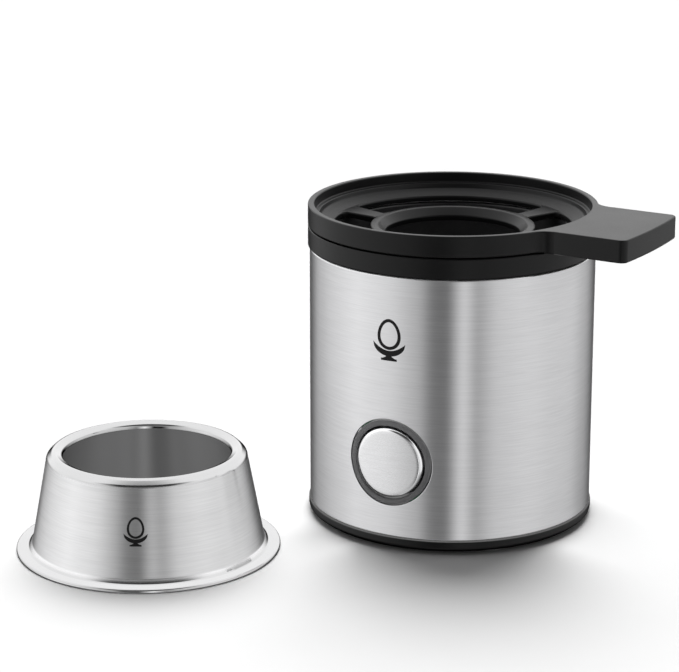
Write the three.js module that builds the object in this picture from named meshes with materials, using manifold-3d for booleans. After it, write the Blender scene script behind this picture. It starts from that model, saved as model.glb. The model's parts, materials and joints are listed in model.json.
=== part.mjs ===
// Egg cooker for one egg, with its separate egg cup.
// Millimetres, +Z up. The origin is the centre of the plane the cooker stands on,
// the push button faces -Y and the carrier's handle points along +X.
import * as THREE from 'three';
import { mergeVertices } from 'three/addons/utils/BufferGeometryUtils.js';
import Module from 'manifold-3d';

const wasm = await Module();
wasm.setup();

// ---------------------------------------------------------------- dimensions
const SEG = 48;               // facets round the large turned parts

const SHELL_R = 32.0;         // stainless shell, outer radius
const SHELL_T = 0.6;          // its sheet thickness
const SHELL_Z0 = 3.2;         // shell, lower edge
const SHELL_Z1 = 61.95;       // shell, upper edge

const BASE_R = 32.3;          // moulded base, outer radius
const BASE_Z0 = 0.5;          // underside of the base above the table
const BASE_Z1 = 2.9;          // top of the base floor

const COLLAR_R = 32.4;        // top collar and carrier ring, outer radius
const COLLAR_Z0 = 62.25;
const COLLAR_Z1 = 66.75;
const RING_Z0 = 67.0;         // carrier ring, lower edge
const RING_Z1 = 71.7;         // carrier ring, top: the height of the cooker
const FLOOR_R = 26.6;         // outer arc of the carrier's three openings
const SEAT_R = 15.0;          // bore of the egg seat
const SPOKE_HALF = 6.4;       // half angle of a spoke, degrees
const CARRIER_TURN = -3.0;    // how the carrier is set down on the collar, degrees

const HANDLE_X = 48.8;        // middle of the handle's slightly bowed end face, from the axis
const HANDLE_END_X = 48.1;    // the same face, at the handle's sides
const HANDLE_HALF_W = 13.9;
const HANDLE_Z0 = 66.7;
const HANDLE_CORNER = 1.7;
const HANDLE_ROOT = 4.5;      // concave root radius

const BUTTON_Z = 20.1;        // button axis height
const CAP_R = 7.9;
const CAP_SKIN_R = 32.55;     // the cap stands this far from the cooker's axis
const BEZEL_R0 = 8.3;
const BEZEL_R1 = 9.6;
const BUTTON_HOLE_R = 9.85;

const CORD_Z = 13.0;          // cord inlet axis height, at the back
const CORD_BORE_R = 3.5;
const CORD_HOLE_R = 5.0;

const POST_R = 26.6;          // pitch radius of the four long screws
const POST_ANGLES = [45, 135, 225, 315];
const FOOT_PITCH = 24.0;
const FOOT_ANGLES = [0, 90, 180, 270];

const CUP_X = -48.0;          // egg cup, standing beside the cooker
const CUP_Y = -54.0;
const CUP_FLANGE_R = 29.05;
const CUP_MOUTH_R = 18.4;
const CUP_H = 22.6;
const CUP_T = 0.9;

// ---------------------------------------------------------------- helpers
const deg = (a) => (a * Math.PI) / 180;

// A closed indexed triangle mesh with its faces pointing out, as a solid.
function solid(geometry) {
  let g = geometry.clone();
  for (const name of Object.keys(g.attributes)) if (name !== 'position') g.deleteAttribute(name);
  g = mergeVertices(g, 1e-4);
  const p = g.attributes.position;
  const idx = g.index.array;
  const tris = [];
  let volume = 0;
  const a = new THREE.Vector3(), b = new THREE.Vector3(), c = new THREE.Vector3();
  for (let i = 0; i < idx.length; i += 3) {
    const [i0, i1, i2] = [idx[i], idx[i + 1], idx[i + 2]];
    if (i0 === i1 || i1 === i2 || i0 === i2) continue;
    tris.push(i0, i1, i2);
    a.fromBufferAttribute(p, i0); b.fromBufferAttribute(p, i1); c.fromBufferAttribute(p, i2);
    volume += a.dot(b.clone().cross(c));
  }
  if (volume < 0) for (let i = 0; i < tris.length; i += 3) [tris[i + 1], tris[i + 2]] = [tris[i + 2], tris[i + 1]];
  const mesh = new wasm.Mesh({ numProp: 3, vertProperties: Float32Array.from(p.array), triVerts: Uint32Array.from(tris) });
  mesh.merge();
  return new wasm.Manifold(mesh);
}

function geometryOf(manifold) {
  const m = manifold.getMesh();
  const g = new THREE.BufferGeometry();
  g.setAttribute('position', new THREE.BufferAttribute(Float32Array.from(m.vertProperties), 3));
  g.setIndex(new THREE.BufferAttribute(Uint32Array.from(m.triVerts), 1));
  g.computeVertexNormals();
  return g;
}

// Turned solid about the Z axis from [r, z] points.
function turned(points, seg = SEG, closed = true) {
  const pts = points.map(([r, z]) => new THREE.Vector2(r, z));
  if (closed && (points[0][0] > 0 || points[points.length - 1][0] > 0)) pts.push(pts[0].clone());
  return solid(new THREE.LatheGeometry(pts, seg).rotateX(Math.PI / 2));
}

// Turned solid about a line along Y through (x, ., z), from [r, y] points.
function turnedY(points, x, z, seg = 32) {
  const pts = points.map(([r, y]) => new THREE.Vector2(r, y));
  if (points[0][0] > 0 || points[points.length - 1][0] > 0) pts.push(pts[0].clone());
  return solid(new THREE.LatheGeometry(pts, seg).translate(x, 0, z));
}

function cyl(r, z0, z1, x = 0, y = 0, seg = 24) {
  return solid(new THREE.CylinderGeometry(r, r, z1 - z0, seg).rotateX(Math.PI / 2).translate(x, y, (z0 + z1) / 2));
}

function cylX(r, x0, x1, y, z, seg = 16) {
  return solid(new THREE.CylinderGeometry(r, r, x1 - x0, seg).rotateZ(Math.PI / 2).translate((x0 + x1) / 2, y, z));
}

function cylY(r, y0, y1, x, z, seg = 24) {
  return solid(new THREE.CylinderGeometry(r, r, y1 - y0, seg).translate(x, (y0 + y1) / 2, z));
}

function box(x0, x1, y0, y1, z0, z1) {
  return solid(new THREE.BoxGeometry(x1 - x0, y1 - y0, z1 - z0).translate((x0 + x1) / 2, (y0 + y1) / 2, (z0 + z1) / 2));
}

// A box with its vertical edges rounded off.
function roundBox(x0, x1, y0, y1, z0, z1, r, steps = 3) {
  const s = new THREE.Shape();
  s.moveTo(x0 + r, y0);
  s.lineTo(x1 - r, y0); s.absarc(x1 - r, y0 + r, r, -Math.PI / 2, 0, false);
  s.lineTo(x1, y1 - r); s.absarc(x1 - r, y1 - r, r, 0, Math.PI / 2, false);
  s.lineTo(x0 + r, y1); s.absarc(x0 + r, y1 - r, r, Math.PI / 2, Math.PI, false);
  s.lineTo(x0, y0 + r); s.absarc(x0 + r, y0 + r, r, Math.PI, 1.5 * Math.PI, false);
  return solid(new THREE.ExtrudeGeometry(s, { depth: z1 - z0, bevelEnabled: false, curveSegments: steps }).translate(0, 0, z0));
}

// A flat outline in the YZ plane, extruded along X.
function plateYZ(shape, x0, x1, steps = 8) {
  const g = new THREE.ExtrudeGeometry(shape, { depth: x1 - x0, bevelEnabled: false, curveSegments: steps });
  // shape x -> Y, shape y -> Z, depth -> X
  g.applyMatrix4(new THREE.Matrix4().set(0, 0, 1, x0, 1, 0, 0, 0, 0, 1, 0, 0, 0, 0, 0, 1));
  return solid(g);
}

// A round bar along a smooth curve through the points.
function bar(points, r, steps, sides = 6) {
  const curve = new THREE.CatmullRomCurve3(points.map((p) => new THREE.Vector3(...p)), false, 'centripetal');
  const s = new THREE.Shape();
  for (let i = 0; i < sides; i++) {
    const a = (2 * Math.PI * i) / sides;
    if (i === 0) s.moveTo(r * Math.cos(a), r * Math.sin(a)); else s.lineTo(r * Math.cos(a), r * Math.sin(a));
  }
  s.closePath();
  return solid(new THREE.ExtrudeGeometry(s, { steps, extrudePath: curve, bevelEnabled: false }));
}

const at = (angle, r) => [r * Math.cos(deg(angle)), r * Math.sin(deg(angle))];

// ---------------------------------------------------------------- materials
const finish = {
  brushed: () => new THREE.MeshStandardMaterial({ color: 0xc9c9cb, roughness: 0.32, metalness: 1.0 }),
  polished: () => new THREE.MeshStandardMaterial({ color: 0xd4d4d6, roughness: 0.15, metalness: 1.0 }),
  blackPlastic: () => new THREE.MeshStandardMaterial({ color: 0x1b1b1c, roughness: 0.42, metalness: 0.0 }),
  bezelGrey: () => new THREE.MeshStandardMaterial({ color: 0x4d4e50, roughness: 0.35, metalness: 0.0 }),
  rubber: () => new THREE.MeshStandardMaterial({ color: 0x202021, roughness: 0.85, metalness: 0.0 }),
  silicone: () => new THREE.MeshStandardMaterial({ color: 0x8d9094, roughness: 0.7, metalness: 0.0 }),
  aluminium: () => new THREE.MeshStandardMaterial({ color: 0xb4b6b8, roughness: 0.45, metalness: 1.0 }),
  coated: () => new THREE.MeshStandardMaterial({ color: 0x2a2a2b, roughness: 0.35, metalness: 0.6 }),
  zinc: () => new THREE.MeshStandardMaterial({ color: 0xaeb1b4, roughness: 0.35, metalness: 1.0 }),
  steel: () => new THREE.MeshStandardMaterial({ color: 0x8f9194, roughness: 0.4, metalness: 1.0 }),
  board: () => new THREE.MeshStandardMaterial({ color: 0x1f5c3a, roughness: 0.5, metalness: 0.0 }),
  blue: () => new THREE.MeshStandardMaterial({ color: 0x21448c, roughness: 0.45, metalness: 0.0 }),
  white: () => new THREE.MeshStandardMaterial({ color: 0xe6e4dc, roughness: 0.55, metalness: 0.0 }),
  brown: () => new THREE.MeshStandardMaterial({ color: 0x5a3620, roughness: 0.6, metalness: 0.0 }),
  yellow: () => new THREE.MeshStandardMaterial({ color: 0xb7a32e, roughness: 0.6, metalness: 0.0 }),
  red: () => new THREE.MeshStandardMaterial({ color: 0xb02a20, roughness: 0.3, metalness: 0.0 }),
};

const group = new THREE.Group();
const cooker = new THREE.Group();
const carrier = new THREE.Group();
const cup = new THREE.Group();
group.add(cooker, carrier, cup);

function part(name, body, material, parent = cooker) {
  const mesh = new THREE.Mesh(geometryOf(body), material);
  mesh.name = name;
  parent.add(mesh);
  return mesh;
}

// ---------------------------------------------------------------- base
// Floor with a rounded lower edge, a rim that stands inside the shell, four
// hollow towers for the long screws and slotted ribs that hold the circuit board.
{
  let b = turned([
    [0, BASE_Z0], [31.2, BASE_Z0], [31.9, 0.75], [BASE_R, 1.35], [BASE_R, BASE_Z1],
    [31.1, BASE_Z1], [31.1, 6.6], [29.5, 6.6], [29.5, BASE_Z1], [0, BASE_Z1],
  ], SEG, false);
  for (const a of POST_ANGLES) {
    const [x, y] = at(a, POST_R);
    b = b.add(cyl(4.2, 1.0, 37.6, x, y, 14));
  }
  for (const s of [-1, 1]) {
    const x0 = s < 0 ? -17.0 : 14.2;
    b = b.add(box(x0, x0 + 2.8, -14.6, -12.6, 1.5, 11.0));
    b = b.add(box(x0, x0 + 2.8, -10.4, -8.4, 1.5, 11.0));
  }
  for (const a of POST_ANGLES) {
    const [x, y] = at(a, POST_R);
    b = b.subtract(cyl(3.1, -1, 3.6, x, y, 14)).subtract(cyl(1.6, 2, 39, x, y, 8));
  }
  for (const a of FOOT_ANGLES) {
    const [x, y] = at(a, FOOT_PITCH);
    b = b.subtract(cyl(4.35, -1, 1.9, x, y, 14));
  }
  b = b.subtract(cyl(11.4, -1, 1.7, 0, 0, 24));
  part('base_plate', b, finish.blackPlastic());
}
FOOT_ANGLES.forEach((a, i) => {
  const [x, y] = at(a, FOOT_PITCH);
  const f = turned([[0, 0], [3.3, 0], [3.9, 0.5], [4.0, 1.7], [0, 1.7]], 14, false);
  const m = part(`foot_${i + 1}`, f, finish.rubber());
  m.position.set(x, y, 0);
});
part('anti_slip_pad', turned([[0, 0], [10.7, 0], [11.0, 0.3], [11.0, 1.5], [0, 1.5]], 24, false), finish.rubber());

// Long pan-head screws, driven from below through the towers into the collar.
POST_ANGLES.forEach((a, i) => {
  const [x, y] = at(a, POST_R);
  let s = turned([[0, 1.1], [2.3, 1.1], [2.8, 1.6], [2.8, 3.3], [1.25, 3.3], [1.25, 44.0], [0, 45.0]], 10, false);
  s = s.subtract(box(-1.9, 1.9, -0.35, 0.35, 0.5, 2.0));
  const m = part(`body_screw_${i + 1}`, s, finish.zinc());
  m.position.set(x, y, 0);
});

// ---------------------------------------------------------------- shell
{
  const ri = SHELL_R - SHELL_T;
  let s = turned([[ri, SHELL_Z0], [SHELL_R, SHELL_Z0], [SHELL_R, SHELL_Z1], [ri, SHELL_Z1]]);
  s = s.subtract(cylY(BUTTON_HOLE_R, -40, -20, 0, BUTTON_Z, 40));
  s = s.subtract(cylY(CORD_HOLE_R, 20, 40, 0, CORD_Z, 24));
  part('steel_sleeve', s, finish.brushed());
}
// Rubber grommet lining the cord hole.
part('cord_grommet', turnedY([
  [CORD_BORE_R, 25.5], [4.6, 25.5], [5.5, 29.2], [5.5, 30.3], [4.7, 30.3], [4.7, 32.3],
  [6.2, 32.3], [6.2, 33.2], [5.7, 33.7], [CORD_BORE_R, 33.7],
], 0, CORD_Z, 16), finish.rubber());

// ---------------------------------------------------------------- collar and dish
// Visible band, ledge for the dish, skirt inside the shell and four screw bosses.
{
  let c = turned([
    [31.1, 39.1], [31.1, COLLAR_Z0], [COLLAR_R, COLLAR_Z0], [COLLAR_R, COLLAR_Z1],
    [30.2, COLLAR_Z1], [30.2, 64.2], [27.6, 64.2], [27.6, 63.1], [29.5, 61.2], [29.5, 39.1],
  ]);
  for (const a of POST_ANGLES) {
    const [x, y] = at(a, POST_R);
    c = c.add(cyl(3.6, 39.1, 47.2, x, y, 12));
  }
  for (const a of POST_ANGLES) {
    const [x, y] = at(a, POST_R);
    c = c.subtract(cyl(1.6, 38, 45.6, x, y, 8));
  }
  part('top_collar', c, finish.blackPlastic());
}
part('dish_seal', turned([[28.2, 64.35], [29.8, 64.35], [29.8, 64.85], [28.2, 64.85]], 32), finish.silicone());
part('heating_dish', turned([
  [0, 49.2], [20.3, 49.2], [24.1, 50.6], [26.2, 54.8], [27.1, 65.0], [29.9, 65.0],
  [29.9, 65.6], [26.6, 65.6], [25.6, 55.0], [23.7, 51.2], [20.0, 50.0], [0, 50.0],
], 40, false), finish.coated());

// ---------------------------------------------------------------- heater
const STUD_R = 18.2;
{
  let h = turned([[0, 46.7], [20.0, 46.7], [20.4, 47.1], [20.4, 49.05], [0, 49.05]], 28, false);
  for (const a of [45, 225]) {
    const [x, y] = at(a, STUD_R);
    h = h.add(cyl(1.5, 33.4, 47.5, x, y, 8));
  }
  part('heat_spreader', h, finish.aluminium());
}
{
  // Horseshoe with its two cold ends turned down at the back.
  const pts = [[4.6, 12.8, 32.0], [4.6, 12.8, 36.0], [4.6, 12.8, 40.0], [5.1, 12.7, 42.8]];
  for (let a = 55; a >= -235; a -= 14.5) pts.push([...at(a, 13.6), 44.2]);
  pts.push([-5.1, 12.7, 42.8], [-4.6, 12.8, 40.0], [-4.6, 12.8, 36.0], [-4.6, 12.8, 32.0]);
  part('heating_element', bar(pts, 2.2, 40, 7), finish.steel());
}
{
  let t = turned([
    [0, 36.6], [5.5, 36.6], [5.5, 39.1], [9.0, 39.1], [9.0, 40.4], [7.6, 40.4], [7.6, 45.6], [6.8, 46.5], [0, 46.5],
  ], 16, false);
  t = t.add(box(-3.6, -2.8, -2.2, 2.2, 30.6, 37.5)).add(box(2.8, 3.6, -2.2, 2.2, 30.6, 37.5));
  part('thermostat', t, finish.brown());
}
{
  let s = turned([[5.9, 37.9], [11.0, 37.9], [11.0, 38.8], [5.9, 38.8]], 24);
  for (const a of POST_ANGLES) {
    s = s.add(solid(new THREE.BoxGeometry(20.0, 7.0, 0.9).translate(19.2, 0, 38.35).rotateZ(deg(a))));
  }
  for (const a of POST_ANGLES) {
    const [x, y] = at(a, POST_R);
    s = s.subtract(cyl(1.7, 37, 40, x, y, 8));
  }
  for (const a of [45, 225]) {
    const [x, y] = at(a, STUD_R);
    s = s.subtract(cyl(1.8, 37, 40, x, y, 8));
  }
  part('clamp_spider', s, finish.zinc());
}
[45, 225].forEach((a, i) => {
  const [x, y] = at(a, STUD_R);
  const n = cyl(3.1, 35.2, 37.6, 0, 0, 6).subtract(cyl(1.8, 35, 38, 0, 0, 8));
  const m = part(`clamp_nut_${i + 1}`, n, finish.zinc());
  m.position.set(x, y, 0);
});
// Thermal fuse lying against the spreader, under its spring clip.
part('thermal_fuse', cylX(1.8, -6.0, 6.0, -18.9, 44.6, 12), finish.white());
{
  const y = -18.9, z = 44.6;
  const s = new THREE.Shape();
  s.moveTo(y - 2.1, z); s.absarc(y, z, 2.1, Math.PI, 2 * Math.PI, false);
  s.lineTo(y + 2.1, 46.5); s.lineTo(y + 1.5 + 1.2, 46.5);
  s.lineTo(y + 2.7, z); s.absarc(y, z, 2.7, 0, -Math.PI, true);
  s.lineTo(y - 2.7, 46.5); s.lineTo(y - 2.1, 46.5); s.closePath();
  part('fuse_clip', plateYZ(s, -2.0, 2.0), finish.zinc());
}

// ---------------------------------------------------------------- push button
{
  const tube = turnedY([[BEZEL_R0, -34], [BEZEL_R1, -34], [BEZEL_R1, -28.6], [BEZEL_R0, -28.6]], 0, BUTTON_Z, 40);
  const shell = turned([[0, 5], [SHELL_R + 0.1, 5], [SHELL_R + 0.1, 36], [0, 36]], SEG, false);
  part('button_bezel', tube.intersect(shell), finish.bezelGrey());
}
{
  // The cap's face follows the curve of the shell and stands a little proud of it.
  const disc = turnedY([[0, -34], [CAP_R, -34], [CAP_R, -31.3], [0, -31.3]], 0, BUTTON_Z, 40);
  const skin = turned([[0, 5], [CAP_SKIN_R, 5], [CAP_SKIN_R, 36], [0, 36]], SEG, false);
  part('button_cap', disc.intersect(skin), finish.polished());
}
part('button_plunger', turnedY([
  [0, -31.15], [7.5, -31.15], [7.5, -28.3], [9.2, -28.3], [9.2, -27.6], [2.0, -27.6], [2.0, -21.9], [0, -21.9],
], 0, BUTTON_Z, 24), finish.blackPlastic());
part('switch_actuator', turnedY([[0, -21.6], [1.5, -21.6], [1.5, -19.0], [0, -19.0]], 0, BUTTON_Z, 12), finish.white());
part('push_switch', roundBox(-6, 6, -20.2, -12.45, BUTTON_Z - 6, BUTTON_Z + 6, 0.6, 2)
  .subtract(cylY(1.9, -21, -16.8, 0, BUTTON_Z, 12)), finish.blackPlastic());
{
  // Return spring round the plunger's stem.
  const pts = [];
  const turns = 4.5, n = 45;
  for (let i = 0; i <= n; i++) {
    const t = i / n, a = 2 * Math.PI * turns * t;
    pts.push([3.4 * Math.cos(a), -27.1 + t * 6.3, BUTTON_Z + 3.4 * Math.sin(a)]);
  }
  part('button_spring', bar(pts, 0.35, 45, 4), finish.steel());
}

// ---------------------------------------------------------------- electrics
part('circuit_board', box(-16.6, 16.6, -12.3, -10.7, 4.0, 32.8), finish.board());
part('relay', roundBox(-15.5, -1.5, -10.5, -1.0, 19.0, 30.0, 0.6, 2), finish.blue());
part('buzzer', turnedY([[0.9, -10.5], [4.5, -10.5], [4.5, -6.2], [4.0, -5.8], [0.9, -5.8]], 8.0, 27.5, 16), finish.blackPlastic());
part('capacitor', roundBox(3.5, 14.0, -10.5, -5.2, 13.5, 21.0, 0.6, 2), finish.yellow());
part('indicator_led', turnedY([[0, -18.0], [0.9, -17.7], [1.4, -16.9], [1.5, -12.45], [0, -12.45]], 0, 29.8, 12), finish.red());
{
  let t = roundBox(-9, 9, 5.5, 14.5, 3.1, 12.5, 0.8, 2);
  for (const x of [-5.6, 0, 5.6]) t = t.subtract(cyl(1.7, 9.0, 13, x, 8.2, 12));
  part('terminal_block', t, finish.white());
}
const WIRE_R = 0.85;
part('live_wire', bar([[-5.6, 8.2, 9.4], [-5.6, 8.2, 14], [-6.2, 5.0, 17.5], [-7.0, -2.0, 17.5], [-7.2, -6.5, 16.6], [-7.2, -10.4, 16.5]], WIRE_R, 11, 5), finish.brown());
part('neutral_wire', bar([[5.6, 8.2, 9.4], [5.6, 8.2, 12.6], [4.8, 5.0, 14.0], [0.5, 0.5, 12.0], [-1.0, -5.0, 10.2], [-1.0, -10.4, 10.0]], WIRE_R, 11, 5), finish.blue());
part('earth_wire', bar([[0, 8.2, 9.4], [0, 8.2, 15], [1.5, 9.2, 20], [13.0, 5.0, 27], [19.4, 3.5, 34], [20.4, 1.8, 42], [18.6, 0.6, 46.1]], WIRE_R, 14, 5), finish.yellow());
part('heater_wire_a', bar([[-9.5, -10.4, 14.0], [-9.5, -6.0, 14.2], [-12.5, 2.0, 18], [-10.5, 10.5, 24], [-5.0, 12.9, 29.0], [-4.6, 12.8, 31.8]], WIRE_R, 12, 5), finish.red());
part('heater_wire_b', bar([[4.6, 12.8, 31.8], [4.7, 12.4, 29.2], [5.6, 9.0, 26.6], [4.6, 2.6, 27.0], [3.2, 0, 28.4], [3.2, 0, 30.4]], WIRE_R, 10, 5), finish.red());
part('thermostat_wire', bar([[-3.2, 0, 30.4], [-3.2, 0, 28.0], [-1.4, 1.6, 24.0], [2.0, 0.5, 18.5], [0.6, -5.5, 16.6], [-0.6, -10.4, 16.5]], WIRE_R, 12, 5), finish.red());

// ---------------------------------------------------------------- carrier
// Ring with a stepped inner wall, a sloping floor, three spokes, an egg seat and
// a flat handle flush with the rim. Its centring skirt drops inside the collar.
{
  let ring = turned([
    [COLLAR_R, RING_Z0], [COLLAR_R, 71.4], [32.1, RING_Z1], [31.1, RING_Z1], [30.9, 71.5],
    [30.8, 69.6], [29.8, 69.4], [29.6, 68.3], [FLOOR_R, 67.0], [FLOOR_R, 65.9], [29.9, 65.9], [29.9, RING_Z0],
  ]);
  const seat = turned([
    [16.8, 66.8], [18.5, 66.7], [18.5, 64.4], [17.5, 63.7], [SEAT_R, 63.9], [SEAT_R, 65.1],
  ], 32);
  ring = ring.add(seat);
  const web = turned([
    [18.0, 66.5], [27.0, 67.15], [27.0, 65.95], [25.8, 65.9], [18.0, 64.9],
  ], 48);
  for (const a of [60, 180, 300]) {
    const s = new THREE.Shape();
    s.moveTo(0, 0);
    s.lineTo(40 * Math.cos(deg(a - SPOKE_HALF)), 40 * Math.sin(deg(a - SPOKE_HALF)));
    s.lineTo(40 * Math.cos(deg(a + SPOKE_HALF)), 40 * Math.sin(deg(a + SPOKE_HALF)));
    s.closePath();
    const wedge = solid(new THREE.ExtrudeGeometry(s, { depth: 10, bevelEnabled: false }).translate(0, 0, 60));
    ring = ring.add(web.intersect(wedge));
  }
  // Handle plan: straight sides, rounded tip corners, concave roots into the ring.
  const w = HANDLE_HALF_W, rr = HANDLE_ROOT, c = HANDLE_CORNER;
  const cy = w + rr;
  const cx = Math.sqrt((COLLAR_R + rr) ** 2 - cy * cy);
  const root = Math.atan2(cy, cx);
  const s = new THREE.Shape();
  const rx = (COLLAR_R - 0.3) * Math.cos(root), ry = (COLLAR_R - 0.3) * Math.sin(root);
  s.moveTo(rx, -ry);
  s.absarc(cx, -cy, rr, Math.PI - root, Math.PI / 2, true);
  // The end face is an arc of radius er about (ex, 0); kx is the centre of a tip corner.
  const bow = HANDLE_X - HANDLE_END_X, er = (w * w + bow * bow) / (2 * bow), ex = HANDLE_X - er;
  const kx = ex + Math.sqrt((er - c) ** 2 - (w - c) ** 2), tip = Math.atan2(w - c, kx - ex);
  s.lineTo(kx, -w);
  s.absarc(kx, -w + c, c, -Math.PI / 2, -tip, false);
  for (const t of [-0.6, -0.2, 0.2, 0.6]) s.lineTo(ex + er * Math.cos(t * tip), er * Math.sin(t * tip));
  s.absarc(kx, w - c, c, tip, Math.PI / 2, false);
  s.lineTo(cx, w);
  s.absarc(cx, cy, rr, -Math.PI / 2, -Math.PI + root, true);
  s.lineTo(rx, ry);
  s.lineTo(24, 0);
  s.closePath();
  let handle = solid(new THREE.ExtrudeGeometry(s, { depth: RING_Z1 - HANDLE_Z0, bevelEnabled: false, curveSegments: 5 }).translate(0, 0, HANDLE_Z0));
  handle = handle.subtract(cyl(31.7, 60, 80, 0, 0, SEG)).subtract(cyl(32.8, 60, RING_Z0, 0, 0, SEG));
  part('egg_carrier', ring.add(handle), finish.blackPlastic(), carrier);
}
carrier.rotation.z = deg(CARRIER_TURN);

// ---------------------------------------------------------------- egg cup
// One pressed sheet: thin flat flange, slightly tapered wall, squarely rolled-in rim.
part('egg_cup', turned([
  [CUP_FLANGE_R, 0], [CUP_FLANGE_R, CUP_T], [26.5, CUP_T], [25.55, 1.9],
  [21.98, 20.9], [21.75, 21.75], [21.2, 22.35], [20.4, CUP_H], [19.6, CUP_H], [18.95, 22.35], [18.5, 21.8], [CUP_MOUTH_R, 20.9],
  [19.0, 20.9], [19.1, 21.6], [19.6, 22.0], [20.4, 22.0], [21.0, 21.65], [21.38, 20.8],
  [24.95, 1.75], [25.9, 0],
]), finish.brushed(), cup);
cup.position.set(CUP_X, CUP_Y, 0);

export default group;
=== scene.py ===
import json
import math

import bmesh
import bpy
import numpy as np
from mathutils import Matrix, Vector

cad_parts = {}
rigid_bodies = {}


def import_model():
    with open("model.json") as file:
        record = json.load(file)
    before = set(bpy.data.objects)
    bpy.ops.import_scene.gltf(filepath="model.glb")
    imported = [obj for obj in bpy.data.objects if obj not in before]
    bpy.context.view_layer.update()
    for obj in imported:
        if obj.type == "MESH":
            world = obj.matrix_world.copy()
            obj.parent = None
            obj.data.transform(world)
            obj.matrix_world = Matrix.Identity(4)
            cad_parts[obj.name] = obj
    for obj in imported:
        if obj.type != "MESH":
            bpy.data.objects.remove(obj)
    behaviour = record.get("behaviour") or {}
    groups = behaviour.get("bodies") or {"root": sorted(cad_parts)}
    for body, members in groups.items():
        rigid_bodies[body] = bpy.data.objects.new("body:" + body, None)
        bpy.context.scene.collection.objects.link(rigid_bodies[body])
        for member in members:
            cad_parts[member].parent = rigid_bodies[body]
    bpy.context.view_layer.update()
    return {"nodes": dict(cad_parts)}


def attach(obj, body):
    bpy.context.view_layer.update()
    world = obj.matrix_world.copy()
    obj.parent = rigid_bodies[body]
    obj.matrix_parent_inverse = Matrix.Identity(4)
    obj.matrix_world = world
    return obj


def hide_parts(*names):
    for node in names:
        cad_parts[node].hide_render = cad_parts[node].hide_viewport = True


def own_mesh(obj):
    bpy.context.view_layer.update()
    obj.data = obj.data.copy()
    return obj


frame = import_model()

scene = bpy.context.scene
scene.view_settings.view_transform = "Standard"
scene.view_settings.look = "None"

# Shapes are worked out in millimetres in the part's own frame and scaled to metres at the end.
TAU = 2 * math.pi
SHELL_R, COLLAR_R = 32.0, 32.4
BUTTON_Z, CORD_Z = 20.1, 13.0
CARRIER_TURN = -3.0
CUP = Vector((-48.0, -54.0, 0.0))
POST_R, POST_ANGLES = 26.6, (45, 135, 225, 315)
FOOT_PITCH, FOOT_ANGLES = 24.0, (0, 90, 180, 270)


def rad(a):
    return math.radians(a)


def polar(angle, r, z=0.0):
    return (r * math.cos(rad(angle)), r * math.sin(rad(angle)), z)


# ------------------------------------------------------------------ camera
AZ, EL, DIST = rad(27.370), rad(16.053), 0.580
right = Vector((math.cos(AZ), math.sin(AZ), 0))
ahead = Vector((-math.sin(AZ), math.cos(AZ), 0))
look = ahead * math.cos(EL) - Vector((0, 0, math.sin(EL)))
target = right * -0.025325 + Vector((0, 0, 0.040637))
cam_data = bpy.data.cameras.new("camera")
cam_data.sensor_width = 36.0
cam_data.lens = 2561.0 * 36.0 / 679.0
cam_data.clip_start, cam_data.clip_end = 0.01, 20.0
camera = bpy.data.objects.new("camera", cam_data)
camera.location = target - look * DIST
camera.rotation_mode = "QUATERNION"
camera.rotation_quaternion = look.to_track_quat("-Z", "Y")
scene.collection.objects.link(camera)
scene.camera = camera


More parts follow.
